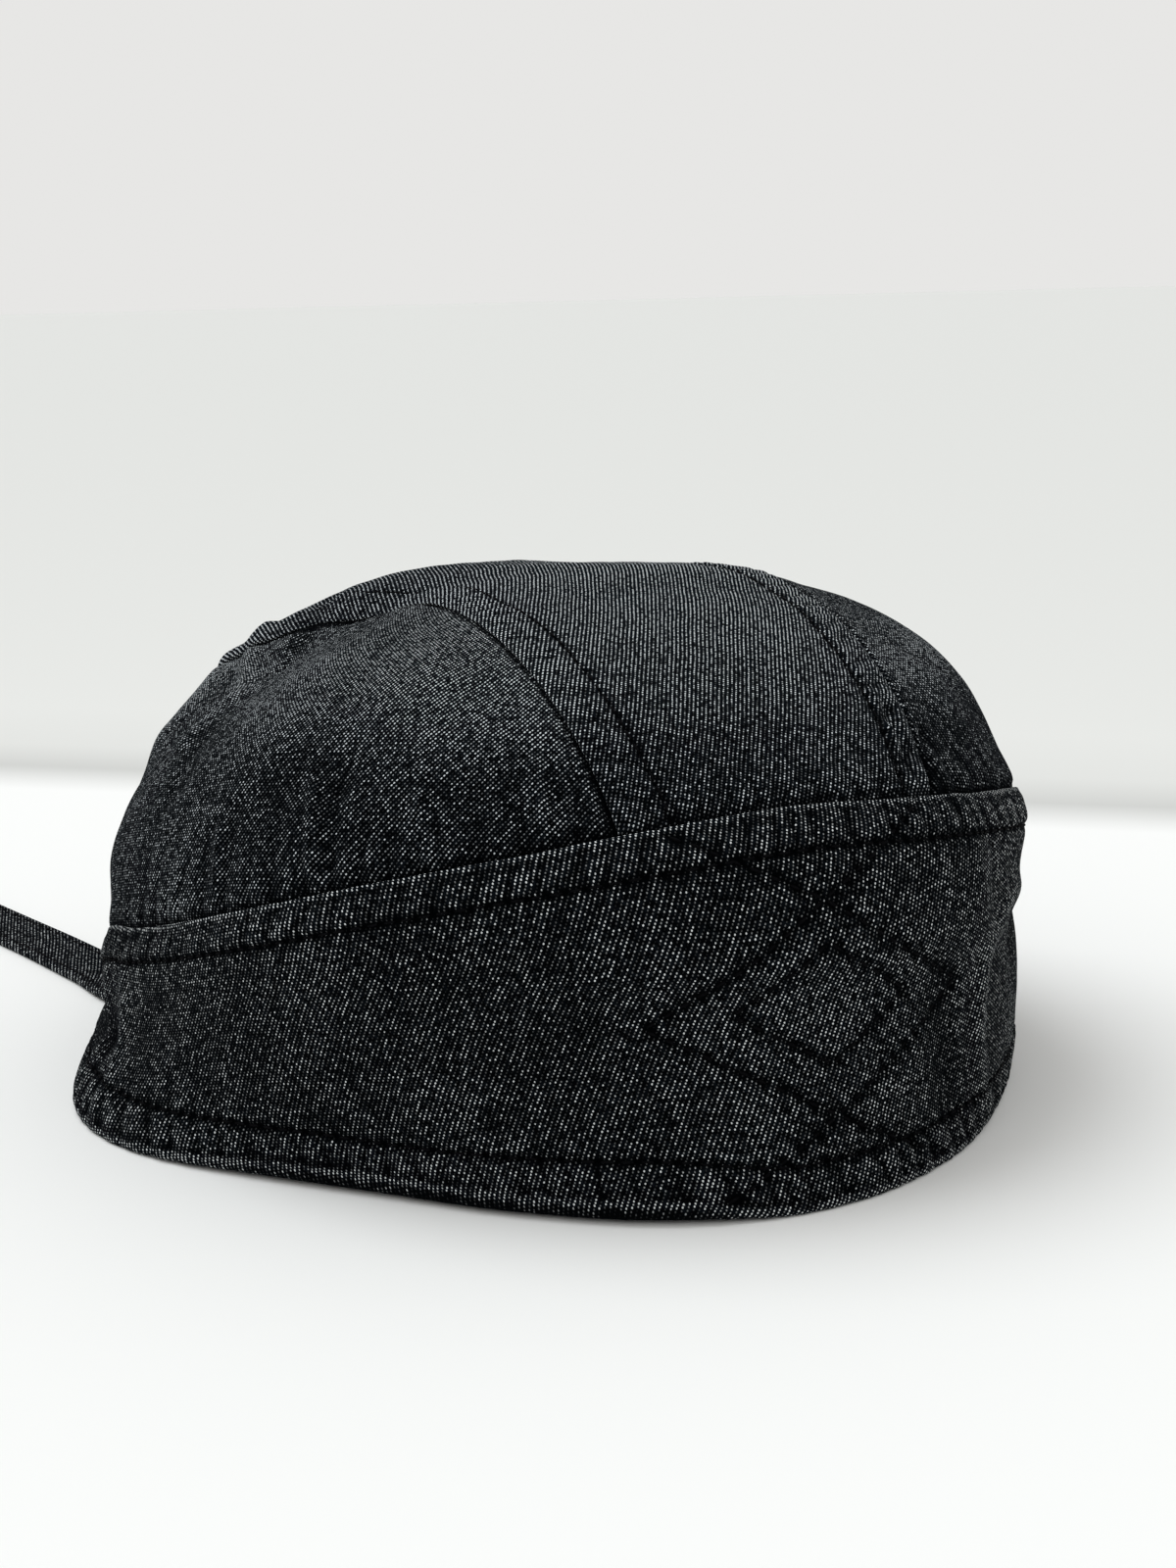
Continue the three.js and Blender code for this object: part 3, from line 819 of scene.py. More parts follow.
def crowded(count, low, high, reach):
    """Places from low to high that lie twice as close together within reach of 0."""
    fine = np.linspace(low, high, 2001)
    total = np.cumsum(1 + groove(fine, reach))
    return np.interp(np.linspace(total[0], total[-1], count), total, fine)


def make_band(steps_round=641, steps_up=129):
    """The band from end to end, finer in front and near its edges, with its rim off the surface in places."""
    angles = crowded(steps_round, -BAND_END, BAND_END, 26)
    angle, share = np.meshgrid(angles, eased(steps_up, 0.35), indexing="ij")
    bottom = BAND_CLOTH / 2 + hem_lift(angle)
    top = np.maximum(around("band", angle) - EDGE_GAP, bottom + 0.5)
    height = bottom + (top - bottom) * share
    lowered = hem_lift(angle) * (1 - smooth(height - bottom, 0, 6))
    return cloth_object("band_fabric", BAND, angle, height, along_strip(steps_round // 2, 0), lowered)


def sew_band():
    """The band's two topstitches and the ornament's stitches."""
    BAND.rows.clear()
    BAND.holes.clear()
    angle = even_shares(-BAND_END + 2, BAND_END - 2, 400)
    BAND.sew(angle, around("band", angle) - EDGE_STITCH)
    BAND.sew(angle, hem_lift(angle) + HEM_STITCH)
    for corners in ORNAMENT.values():
        for (ax, ay), (bx, by) in zip(corners[:-1], corners[1:]):
            share = even_shares(0, 1, math.hypot(bx - ax, by - ay))
            x, height = ax + (bx - ax) * share, ay + (by - ay) * share
            angle = angle_for(x, height)
            shown = (above_band(angle, height) < -0.8) & (height > hem_lift(angle) + 1)
            BAND.sew(angle[shown], height[shown], QUILT_BOLD)


# ---- The crown ----

SIDE_NAMES = ("right", "left")
SHOWN_OVER_BAND = (-3, 3)  # heights about the band's top edge over which the crown's relief starts
HEM_ENDS = (BAND_END - 2, BAND_END + 6)  # angles over which the crown's own hem starts
TURN_LENGTH = 1.25  # length along the centre strip for each degree over the top
SIDE_SPARE = 1.2  # how much further a side panel keeps from the middle at its lower corners
MAP_ANGLE, MAP_RISE = 70, 18  # middle of a side panel's cloth map


def crown_hem(angle, height):
    """Relief, wear and painted shade of the crown's own hem, at the back where no band covers it."""
    settings = bpy.context.scene.cap_cloth
    bare = smooth(np.abs(angle), *HEM_ENDS)
    wave = gathers(round_arc(angle), height, settings.gather_pitch * 1.2, HEM_GATHERS, slant=0.1)
    strip, tail, rows = CROWN_HEM.at(height)
    relief = settings.gather_depth * wave * (strip + 0.9 * tail) + 0.3 * strip - pulled_in(rows, 0)
    return bare * relief, bare * worn_and_shaded("hem", gathers=wave * (strip + 0.6 * tail), rows=rows)


def band_puckers(angle, height, pitch):
    """Small upright pleats where the crown runs in behind the band."""
    above = above_band(angle, height)
    shown = smooth(above, -1.5, 1) * np.exp(-np.maximum(above, 0) / 8)
    return gathers(round_arc(angle), above, pitch, CROWN_WAVES, slant=0.05) * shown


def crown_top_light_and_fading(height):
    """Painted light and fading: the top of the crown is painted lighter than its walls, as light falls on it
    from above.
    """
    return 2.1 * smooth(height, 62, 92) - 0.3


def band_step(above):
    """The crown swells a little just above the band's edge."""
    return 0.5 * smooth(above, 0.5, 1.4) * (1 - smooth(above, 2, 8))


def centre_layers(turn, offset, point):
    """The centre strip is gathered and topstitched along both of its edges, and thin at their folds."""
    settings = bpy.context.scene.cap_cloth
    angle, height = angle_of(point), point[..., 2]
    above = above_band(angle, height)
    insets = seam_offset("right", turn) + offset, seam_offset("left", turn) - offset
    relief, fade = np.zeros(height.shape), np.zeros(height.shape)
    for inset, waves in zip(insets, (EDGE_GATHERS, HEM_GATHERS)):
        wave = gathers(turn * TURN_LENGTH, inset, pitch=6.2, waves=waves, slant=0.3)
        strip, tail, rows = CROWN_SEAM.at(inset)
        relief = relief + settings.gather_depth * wave * (1.2 * strip + 0.6 * tail) + 0.25 * strip
        relief = relief - pulled_in(rows, 0)
        fade = fade + worn_and_shaded("centre", gathers=wave * (strip + 0.5 * tail), rows=rows,
                           fold=1 - smooth(inset, 0.3, 0.8))
    inset = np.minimum(*insets)
    slow = layered(CROWN_WAVES, turn, offset, SLOW_WAVES["centre"])
    rough = layered(CROWN_WAVES, turn, offset, ROUGH_WAVES["centre"])
    pleats = band_puckers(angle, height, pitch=6.0)
    press = creases(point)
    holes = CENTRE.holes_at(point)
    hem_relief, hem_wear_and_shade = crown_hem(angle, height)
    relief = relief + settings.wave_depth * slow * smooth(inset, 4, 14) + 0.08 * rough
    relief = relief + 1.3 * settings.gather_depth * pleats + press + band_step(above)
    relief = relief * smooth(above, *SHOWN_OVER_BAND) + hem_relief - pulled_in(0, holes)
    # band_shade is painted shade on the crown just above the band's edge; rows and holes are painted shade
    # too.
    fade = fade + worn_and_shaded("centre", slow=slow, rough=rough, pleats=pleats, press=press, holes=holes,
                       top=crown_top_light_and_fading(height), band_shade=groove(above, 0.9))
    # Painted light and shade: the strip is palest at the top, where light falls from above, and darkest where
    # it starts down the back.
    fade = fade + 0.5 * groove(turn - 78, 20) - 1.0 * groove(turn - 116, 17) + hem_wear_and_shade
    stand_off = CLOTH + settings.snug_gap + (LAYER_GAP - settings.snug_gap) * smooth(inset, 2, 10)
    thick = CLOTH * (1 - 0.4 * (1 - smooth(inset, 0, 3)))
    return stand_off + 0.6 * relief.clip(0), stand_off + thick + relief, fade


CENTRE = Cloth(strip_point, centre_layers)


def make_crown_centre(steps_over=401, steps_across=113, map_row=120):
    """The centre strip, from behind the band in front over the top to the rim at the back."""
    half = CLOTH / 2
    shares = eased(steps_across, 0.3)

    def offset_at(turn, share):
        right, left = seam_offset("right", turn) - half, seam_offset("left", turn) - half
        return -right + (right + left) * share

    def past_front(turn):
        point = strip_point(turn, offset_at(turn, shares))
        return point[..., 2] > crown_edge(angle_of(point))

    def on_rim(turn):
        return strip_point(turn, offset_at(turn, shares))[..., 2] <= half

    flat = np.zeros(steps_across)
    front = turning_point(flat - 20, flat + 90, past_front)
    back = turning_point(flat + 90, flat + 240, on_rim)
    turn = front + (back - front) * np.linspace(0, 1, steps_over)[:, None]
    return cloth_object("crown_centre_fabric", CENTRE, turn, offset_at(turn, shares[None]),
                        along_strip(map_row, steps_across // 2, turned=True))


def sew_crown():
    """The topstitches of the centre strip, and of the back hem on the strip and the side panels."""
    for cloth in (CENTRE, *SIDES.values()):
        cloth.rows.clear()
        cloth.holes.clear()
    turn = even_shares(0, 200, 260)
    for side, sign in (("right", -1), ("left", 1)):
        offset = sign * (seam_offset(side, turn) - SEAM_STITCH)
        point = strip_point(turn, offset)
        shown = (above_band(angle_of(point), point[:, 2]) > 0.6) & (point[:, 2] > 1.5)
        CENTRE.sew(turn[shown], offset[shown])
    angle = even_shares(BAND_END + 1, 360 - BAND_END - 1, 400)
    point = wall_point(angle, np.full(len(angle), HEM_STITCH))
    rise, turn = rise_of(point), turn_of(point) % 360
    on_strip = np.abs(point[:, 0]) < seam_offset("right", turn) - 0.8
    left, right = (angle < 180) & ~on_strip, (angle > 180) & ~on_strip
    SIDES["left"].sew(angle[left], rise[left])
    SIDES["right"].sew(angle[right] - 360, rise[right])
    CENTRE.sew(turn[on_strip], point[on_strip, 0])


def beyond_edge(side, point):
    """How far a point lies beyond a side panel's hidden edge, under the centre strip."""
    turn = turn_of(point)
    over = np.where(turn < -90, turn + 360, np.maximum(turn, 0))
    return np.abs(point[..., 0]) - (seam_offset(side, over) - SEAM_LAP)


def side_shade(angle, height):
    """Painted light and shade on a side panel: lighter in a belt below the top, and lighter or darker by the
    way it faces.
    """
    steep = np.abs(angle)
    belt = 0.95 * smooth(height, 68, 79) - 0.7 * smooth(height, 81, 88) - 0.4
    low = 0.3 * smooth(steep, 60, 80) * (1 - smooth(height, 70, 80))
    high = 0.45 * smooth(steep, 55, 75) * smooth(height, 74, 84)
    turned_away = np.where(angle < 0, 0.15 * smooth(angle, -75, -115), 0.45 - 0.4 * smooth(angle, 60, 100))
    return belt + low - high - turned_away


def side_layers(side, angle, point):
    """A side panel is smooth under the centre strip, swells beside it, and is puckered over the band."""
    settings = bpy.context.scene.cap_cloth
    height = point[..., 2]
    above = above_band(angle, height)
    seam = beyond_edge(side, point) - SEAM_LAP
    bare = smooth(seam, -1, 3)
    arc = round_arc(angle)
    slow = layered(CROWN_WAVES, arc, height, SLOW_WAVES["side"])
    rough = layered(CROWN_WAVES, arc, height, ROUGH_WAVES["side"])
    pleats = band_puckers(angle, height, pitch=6.5)
    drag = gathers(arc, height, pitch=8.5, waves=BAND_WAVES, slant=0.5)
    drag = drag * np.exp(-np.maximum(seam, 0) / 7) * bare
    press = creases(point)
    holes = SIDES[side].holes_at(point)
    hem_relief, hem_wear_and_shade = crown_hem(angle, height)
    relief = (settings.wave_depth * 1.3 * slow + 0.1 * rough) * smooth(seam, 1, 14) + press
    relief = relief + settings.gather_depth * (1.6 * pleats + 0.5 * drag) + band_step(above)
    relief = relief * smooth(above, *SHOWN_OVER_BAND) * bare
    relief = relief + 0.65 * smooth(seam, 0.4, 1.1) * (1 - smooth(seam, 1.5, 8))
    relief = relief + hem_relief - pulled_in(0, holes)
    # band_shade and seam_shade are painted shade: dark lines just above the band's edge and beside the centre
    # strip's edge.
    fade = worn_and_shaded("side", slow=slow, rough=rough, pleats=pleats, drag=drag, press=press, holes=holes,
                top=crown_top_light_and_fading(height), seam_shade=1 - smooth(seam, 0.1, 0.9), band_shade=groove(above, 0.9))
    return 0.6 * relief.clip(0), CLOTH + relief, fade + side_shade(angle, height) + hem_wear_and_shade


SIDES = {
    side: Cloth(face_point, lambda a, b, point, side=side: side_layers(side, a, point))
    for side in SIDE_NAMES
}


def make_crown_side(side, steps_round=321, steps_up=129, map_step=8):
    """A side panel, from behind the band, or the rim at the back, up to its edge under the centre strip."""
    sign = -1 if side == "right" else 1

    def low_edge(angle):
        return wall_point(angle, np.maximum(crown_edge(angle), CLOTH / 2))

    def is_clear(size):
        return beyond_edge(side, low_edge(sign * size)) > SIDE_SPARE

    first = turning_point([0.0], [60.0], is_clear)[0]
    last = turning_point([180.0], [120.0], is_clear)[0]
    angles = np.sort(sign * np.linspace(first, last, steps_round))
    low_rise = rise_of(low_edge(angles))

    def is_over(rise):
        return beyond_edge(side, face_point(angles, rise)) < 0

    high_rise = turning_point(low_rise, 89 + 0 * angles, is_over)
    angle = np.repeat(angles[:, None], steps_up, axis=1)
    rise = low_rise[:, None] + (high_rise - low_rise)[:, None] * np.linspace(0, 1, steps_up)
    some = (slice(None, None, map_step), slice(None, None, map_step))
    flat = refined(flat_map(angle[some], rise[some], (sign * MAP_ANGLE, MAP_RISE)), map_step)
    return cloth_object(f"crown_{side}_fabric", SIDES[side], angle, rise, lambda points: flat)


# ---- The ties ----


def slope_at(before, here, after, first, second):
    """Slope of a smooth curve at the middle one of three points, by the steps to it and from it."""
    return (here - before) / first - (after - before) / (first + second) + (after - here) / second


def through_points(points, count, fine=40):
    """A smooth curve through points: evenly spaced places on it, its directions and the lengths along it."""
    ends = [2 * points[0] - points[1], *points, 2 * points[-1] - points[-2]]
    share = np.linspace(0, 1, fine, endpoint=False)[:, None]
    line = []
    for four in zip(ends, ends[1:], ends[2:], ends[3:]):
        lead, span, follow = (max(np.linalg.norm(q - p) ** 0.5, 1e-4) for p, q in zip(four, four[1:]))
        slopes = slope_at(*four[:3], lead, span) * span, slope_at(*four[1:], span, follow) * span
        line.append(hermite(*four[1:3], *slopes, share))
    line = np.concatenate([*line, points[-1][None]])
    length = lengths_along(line)
    places = np.linspace(0, length[-1], count)
    even = np.stack([np.interp(places, length, line[:, k]) for k in range(3)], axis=-1)
    return even, unit(np.gradient(even, axis=0)), places


class Strap:
    """A flat sewn strap that leaves the band's end upright and turns over to lie on the surface."""

    def __init__(self, side, steps=260):
        sign = -1 if side == "right" else 1
        angle = np.array([float(sign * BAND_END)])
        root, out = BAND.outward(angle, np.array([0.0]))
        forward = unit(wall_point(angle + sign, np.array([0.0])) - root)
        stand_off = CLOTH + LAYER_GAP + BAND_CLOTH / 2
        root = (root + out * stand_off + forward * LAYER_GAP)[0]
        route = [root, root + forward[0] * TIE_LEAD] + [np.array([x, y, 0.0]) for x, y in TIE_ROUTES[side]]
        self.middle, ahead, self.places = through_points(route, steps)
        level = unit(np.stack([-ahead[:, 1], ahead[:, 0], 0 * ahead[:, 0]], axis=-1)) * sign
        twist = np.radians(90) * (1 - smooth(self.places, TIE_LEAD, TIE_TWIST))
        self.wide = level * np.cos(twist)[:, None]
        self.wide[:, 2] = np.sin(twist)
        self.thick = level * -np.sin(twist)[:, None]
        self.thick[:, 2] = np.cos(twist)
        self.middle[:, 2] = TIE_WIDTH / 2 * np.sin(twist) + TIE_THICKNESS / 2 * np.cos(twist)
        self.waves = Waves(71 if side == "right" else 73)

    def relief(self, along, across):
        """Height of either side above a flat strap: sewn edges, and slight gathers between the stitches."""
        edge = TIE_WIDTH / 2 - np.abs(across)
        wave = gathers(along, across, pitch=4.2, waves=self.waves, slant=0.2)
        rows = groove(edge - TIE_STITCH, 0.5)
        relief = 0.14 * wave * smooth(edge, 0.3, 2) - 0.25 * rows
        # Rows of stitches are painted shade; the folded edges are worn pale.
        return relief, worn_and_shaded("tie", gathers=wave, rows=rows, fold=1 - smooth(edge, 0.1, 0.8))

    def outside(self, along, across, lift):
        """Points that stand off the upper side by a lift, and the directions out of it."""
        middle, wide, thick = (np.stack([np.interp(along, self.places, line[:, k]) for k in range(3)], -1)
                               for line in (self.middle, self.wide, self.thick))
        height = TIE_THICKNESS / 2 + self.relief(along, across)[0] + lift
        return middle + wide * across[:, None] + thick * height[:, None], thick


def make_tie(side, flat_steps=30, round_steps=4):
    """A tie as a closed strap with rounded edges."""
    strap = Strap(side)
    half_wide, half_thick = TIE_WIDTH / 2, TIE_THICKNESS / 2
    flat = np.linspace(half_thick - half_wide, half_wide - half_thick, flat_steps)
    turn = np.linspace(0, math.pi, round_steps + 2)[1:-1]
    # Once round the section: over the top, round one edge, back below, and round the other edge.
    across = np.concatenate([flat, half_wide - half_thick + half_thick * np.sin(turn),
                             flat[::-1], half_thick - half_wide - half_thick * np.sin(turn)])
    above = np.concatenate([0 * flat + 1, np.cos(turn), 0 * flat - 1, -np.cos(turn)])
    along, side_way = np.meshgrid(strap.places, across, indexing="ij")
    relief, fade = strap.relief(along, side_way)
    rise = above[None] * (half_thick + np.minimum(relief, TIE_SWELL))
    points = (strap.middle[:, None] + strap.wide[:, None] * side_way[..., None]
              + strap.thick[:, None] * rise[..., None])
    points[..., 2] = np.maximum(points[..., 2], 0)
    rows, columns = along.shape
    number = np.arange(rows * columns).reshape(rows, columns)
    after = np.roll(number, -1, axis=1)
    spots = points.reshape(-1, 3)
    ends = np.stack([points[0].mean(axis=0), points[-1].mean(axis=0)])
    root, tip = len(spots), len(spots) + 1
    caps = [[number[0, k], after[0, k], root] for k in range(columns)]
    caps += [[after[-1, k], number[-1, k], tip] for k in range(columns)]
    uv = np.stack([side_way, along], axis=-1).reshape(-1, 2)
    uv = np.concatenate([uv, [[0, 0], [0, strap.places[-1]]]])
    fade = np.concatenate([fade.reshape(-1), [0, 0]])
    made = solid_mesh(f"tie_{side}_fabric", np.concatenate([spots, ends]), quads_between(number, after),
                      np.array(caps), uv, fade)
    path = (strap.middle - BOX_MIDDLE) * MM
    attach(made, "root")
    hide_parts(f"tie_{side}")
    return made


# ---- Node trees ----


class Value:
    """A socket that holds a number, so that node maths reads as plain maths."""

    def __init__(self, tree, socket):
        self.tree, self.socket = tree, socket

    def math(self, operation, *others):
        """One maths node on this value and others."""
        values = dict(enumerate([self, *others]))
        return self.tree.add("ShaderNodeMath", {"operation": operation}, values).value()

    def __add__(self, other):
        return self.math("ADD", other)

    __radd__ = __add__

    def __sub__(self, other):
        return self.math("SUBTRACT", other)

    def __rsub__(self, other):
        return (self * -1) + other

    def __mul__(self, other):
        return self.math("MULTIPLY", other)

    __rmul__ = __mul__

    def __truediv__(self, other):
        return self.math("DIVIDE", other)

    def __pow__(self, other):
        return self.math("POWER", other)


class Made:
    """A node that has been added, with its outputs by name or number."""

    def __init__(self, tree, node):
        self.tree, self.node = tree, node

    def value(self, output=0):
        return Value(self.tree, self.node.outputs[output])


class Tree:
    """A node tree under construction."""

    def __init__(self, tree):
        self.tree = tree

    def add(self, kind, settings=None, inputs=None):
        """Adds a node: its settings first, then the values or links of its sockets."""
        node = self.tree.nodes.new(kind)
        for name, setting in (settings or {}).items():
            if name == "stops":
                for stop, (place, colour) in zip(self.stops_of(node, len(setting)), setting):
                    stop.position, stop.color = place, (*colour, 1)
            else:
                setattr(node, name, setting)
        for name, given in (inputs or {}).items():
            socket = node.inputs[name]
            if isinstance(given, Value):
                self.tree.links.new(given.socket, socket)
            else:
                socket.default_value = given
        return Made(self, node)

    @staticmethod
    def stops_of(node, count):
        """The stops of a colour ramp, as many as asked for."""
        stops = node.color_ramp.elements
        while len(stops) < count:
            stops.new(1)
        return stops

    def bumped(self, height, strength, distance):
        """The surface's direction where a relief lies on it."""
        return self.add("ShaderNodeBump",
                        inputs={"Strength": strength, "Distance": distance, "Height": height}).value()

    def vector(self, x, y, z=0.0):
        """A vector from its parts."""
        return self.add("ShaderNodeCombineXYZ", inputs={0: x, 1: y, 2: z}).value()

    def parts(self, vector):
        """The x, y and z of a vector."""
        made = self.add("ShaderNodeSeparateXYZ", inputs={0: vector})
        return [made.value(number) for number in range(3)]

    def noise(self, where, scale, detail=2.0, dimensions="3D"):
        """Soft random values of about 0.5."""
        return self.add("ShaderNodeTexNoise", {"noise_dimensions": dimensions},
                        {"Vector": where, "Scale": scale, "Detail": detail}).value()

    def between(self, value, low, high, start=0.0, end=1.0):
        """A smooth change from start to end as a value goes from low to high."""
        ends = {"From Min": low, "From Max": high, "To Min": start, "To Max": end}
        return self.add("ShaderNodeMapRange", {"interpolation_type": "SMOOTHSTEP"},
                        {"Value": value, **ends}).value()

    def mixed(self, share, start, end):
        """A colour between two others."""
        return self.add("ShaderNodeMix", {"data_type": "RGBA"},
                        {"Factor": share, "A": start, "B": end}).value(2)


# ---- Finishes ----

# Scales of the denim's unevenness, for each millimetre of cloth, and for the patches each metre of the cap.
WANDER_SCALE = 0.07
PATCH_SCALE = 45.0
BLOTCH_SCALE = 0.4
CLUMP_SCALE = 1.1
THREAD_SCALES = (0.12, 1.7)  # along the threads and across them
FUZZ_SCALE = 1.9
DEEP_SHADE = (-2.7, -1.0)  # painted shade: values at which valleys and pits are painted so dark that no weft shows, and where that ends
CROWN_TINT = (0.98, 1.0, 1.03)  # painted cool light: the crown's weft is tinted a little bluer, for the cool light that falls on it from above
THREAD_DARK, THREAD_LIGHT = (0.0006, 0.0006, 0.0008, 1), (0.004, 0.004, 0.005, 1)
THREAD_GRAIN = 2600.0


def material_of(name, finish, *details):
    """A material whose shader takes the inputs that a finish works out in its tree."""
    material = bpy.data.materials.new(name)
    material.use_nodes = True
    material.node_tree.nodes.clear()
    tree = Tree(material.node_tree)
    shader = tree.add("ShaderNodeBsdfPrincipled", inputs=finish(tree, *details))
    tree.add("ShaderNodeOutputMaterial", inputs={"Surface": shader.value()})
    return material


def denim(tree, seed, tint=(1.0, 1.0, 1.0)):
    """Black denim: a pale dot wherever a weft thread comes up, in steep twill lines, faded on its crests,
    with painted shade in its valleys.
    """
    settings = bpy.context.scene.cap_denim
    place = tree.add("ShaderNodeUVMap", {"uv_map": "cloth"}).value()
    u, v, _ = tree.parts(place)
    fade = tree.add("ShaderNodeAttribute", {"attribute_name": "fade"}).value("Fac")
    solid_place = tree.add("ShaderNodeTexCoord").value("Object")

    # The weave wanders a little, as woven cloth does.
    u = u + (tree.noise(place, WANDER_SCALE, 1.0, "2D") - 0.5) * settings.wander
    across, along = settings.dot_across, settings.dot_along
    size = across[0] * along[1] - across[1] * along[0]
    column = u * (along[1] / size) - v * (along[0] / size)
    row = v * (across[0] / size) - u * (across[1] / size)
    cell = tree.add("ShaderNodeTexWhiteNoise", {"noise_dimensions": "3D"},
                    {"Vector": tree.vector(column.math("FLOOR"), row.math("FLOOR"), float(seed))})
    chance = cell.value("Value")
    shift = tree.add("ShaderNodeSeparateColor", inputs={0: cell.value("Color")})
    loose = settings.dot_jitter
    c = column.math("FRACT") - 0.5 + (shift.value(0) - 0.5) * loose
    r = row.math("FRACT") - 0.5 + (shift.value(1) - 0.5) * loose
    x = c * across[0] + r * along[0]
    y = c * across[1] + r * along[1]
    lean = math.atan2(along[1], along[0])
    long_way = (x * math.cos(lean) + y * math.sin(lean)) / settings.dot_length
    short_way = (y * math.cos(lean) - x * math.sin(lean)) / settings.dot_width
    reach = (long_way * long_way + short_way * short_way).math("SQRT")
    dot = tree.between(reach, 0.5, 1.2, 1.0, 0.0)

    def patchy(noise, strength, spread=0.2):
        """Some more and some less of the wear, by a noise's values that lie within a spread of 0.5."""
        return tree.between(noise, 0.5 - spread, 0.5 + spread, 1 - strength, 1 + strength)

    # Wear and painted shade: broad patches, small blotches, clumps of a few dots, single threads, the wear of
    # crests, and the painted shade of valleys, rows of stitches and needle holes.
    patches = patchy(tree.noise(solid_place, PATCH_SCALE), 0.2)
    blotches = patchy(tree.noise(place, BLOTCH_SCALE, 2.0, "2D"), settings.blotches)
    clumps = patchy(tree.noise(place, CLUMP_SCALE, 1.0, "2D"), settings.clumps, 0.16)
    thread_place = tree.vector(u * THREAD_SCALES[0], v * THREAD_SCALES[1], float(seed))
    threads = patchy(tree.noise(thread_place, 1.0, 1.0), 0.2)
    # The painted shade turns to black in the deepest valleys and pits.
    lightened_and_shaded = (fade * 0.95).math("EXPONENT") * tree.between(fade, *DEEP_SHADE)
    weft_wear_and_shade = lightened_and_shaded * patches * blotches * clumps * threads
    cover = dot * weft_wear_and_shade * (0.06 + chance**2.4) * settings.dot_strength
    # The yarn turns to its dark colour where the cloth is least worn and where shade is painted.
    yarn = tree.mixed(weft_wear_and_shade * 0.45, (*settings.yarn_dark, 1), (*settings.yarn_light, 1))
    colour = tree.mixed(cover, yarn, (*(np.array(settings.dot_colour) * tint), 1))
    twill = (column * (2 * math.pi)).math("COSINE")
    height = twill * 0.2 + dot * 0.5 + tree.noise(place, FUZZ_SCALE, 1.0, "2D") * 0.6
    bumped = tree.bumped(height, settings.bump, 0.12 * MM)
    return {"Base Color": colour, "Roughness": 0.97 - 0.15 * dot, "Normal": bumped,
            "Specular IOR Level": settings.gloss, "Sheen Weight": settings.sheen, "Sheen Roughness": 0.5,
            "Sheen Tint": (*settings.sheen_colour, 1)}


def sewing_thread(tree):
    """Black sewing thread with a fine, fuzzy grain."""
    grain = tree.noise(tree.add("ShaderNodeTexCoord").value("Object"), THREAD_GRAIN)
    return {"Base Color": tree.mixed(grain, THREAD_DARK, THREAD_LIGHT),
            "Roughness": 0.95 - 0.2 * grain, "Normal": tree.bumped(grain, 0.5, 0.1 * MM),
            "Specular IOR Level": 0.03}


def table_top(tree, settings):
    """White table top, and the pale grey of the wall past its back edge, with a painted shadow along the
    wall's foot close to the edge.
    """
    x, y, _ = tree.parts(tree.add("ShaderNodeTexCoord").value("Object"))
    way = settings.edge_azimuth
    beyond = x * math.sin(way) + y * math.cos(way) - settings.edge_distance
    wall = np.array(settings.wall)
    # How far beyond the edge, in metres, and the colour there. Distances are squeezed to run from 0 to 1.
    # The stop at 0.8 of the wall's colour is the painted shadow at the wall's foot.
    stops = [(-0.02, settings.table), (0.014, wall * 0.8), (0.05, wall * 0.96), (0.12, wall),
             (3.0, wall * 0.95)]
    half_way = 0.2
    squeezed = beyond / (beyond.math("ABSOLUTE") + half_way)
    shade = tree.add("ShaderNodeValToRGB",
                     {"stops": [(0.5 + far / (abs(far) + half_way) / 2, colour) for far, colour in stops]},
                     {"Fac": squeezed * 0.5 + 0.5})
    return {"Base Color": shade.value(), "Roughness": 0.8, "Specular IOR Level": 0.1}


# ---- Stitches ----

STITCH_RANGE = {"Min": 0.86, "Max": 1.1}  # how much shorter and longer than usual single stitches are
STITCH_FLATNESS = 0.8


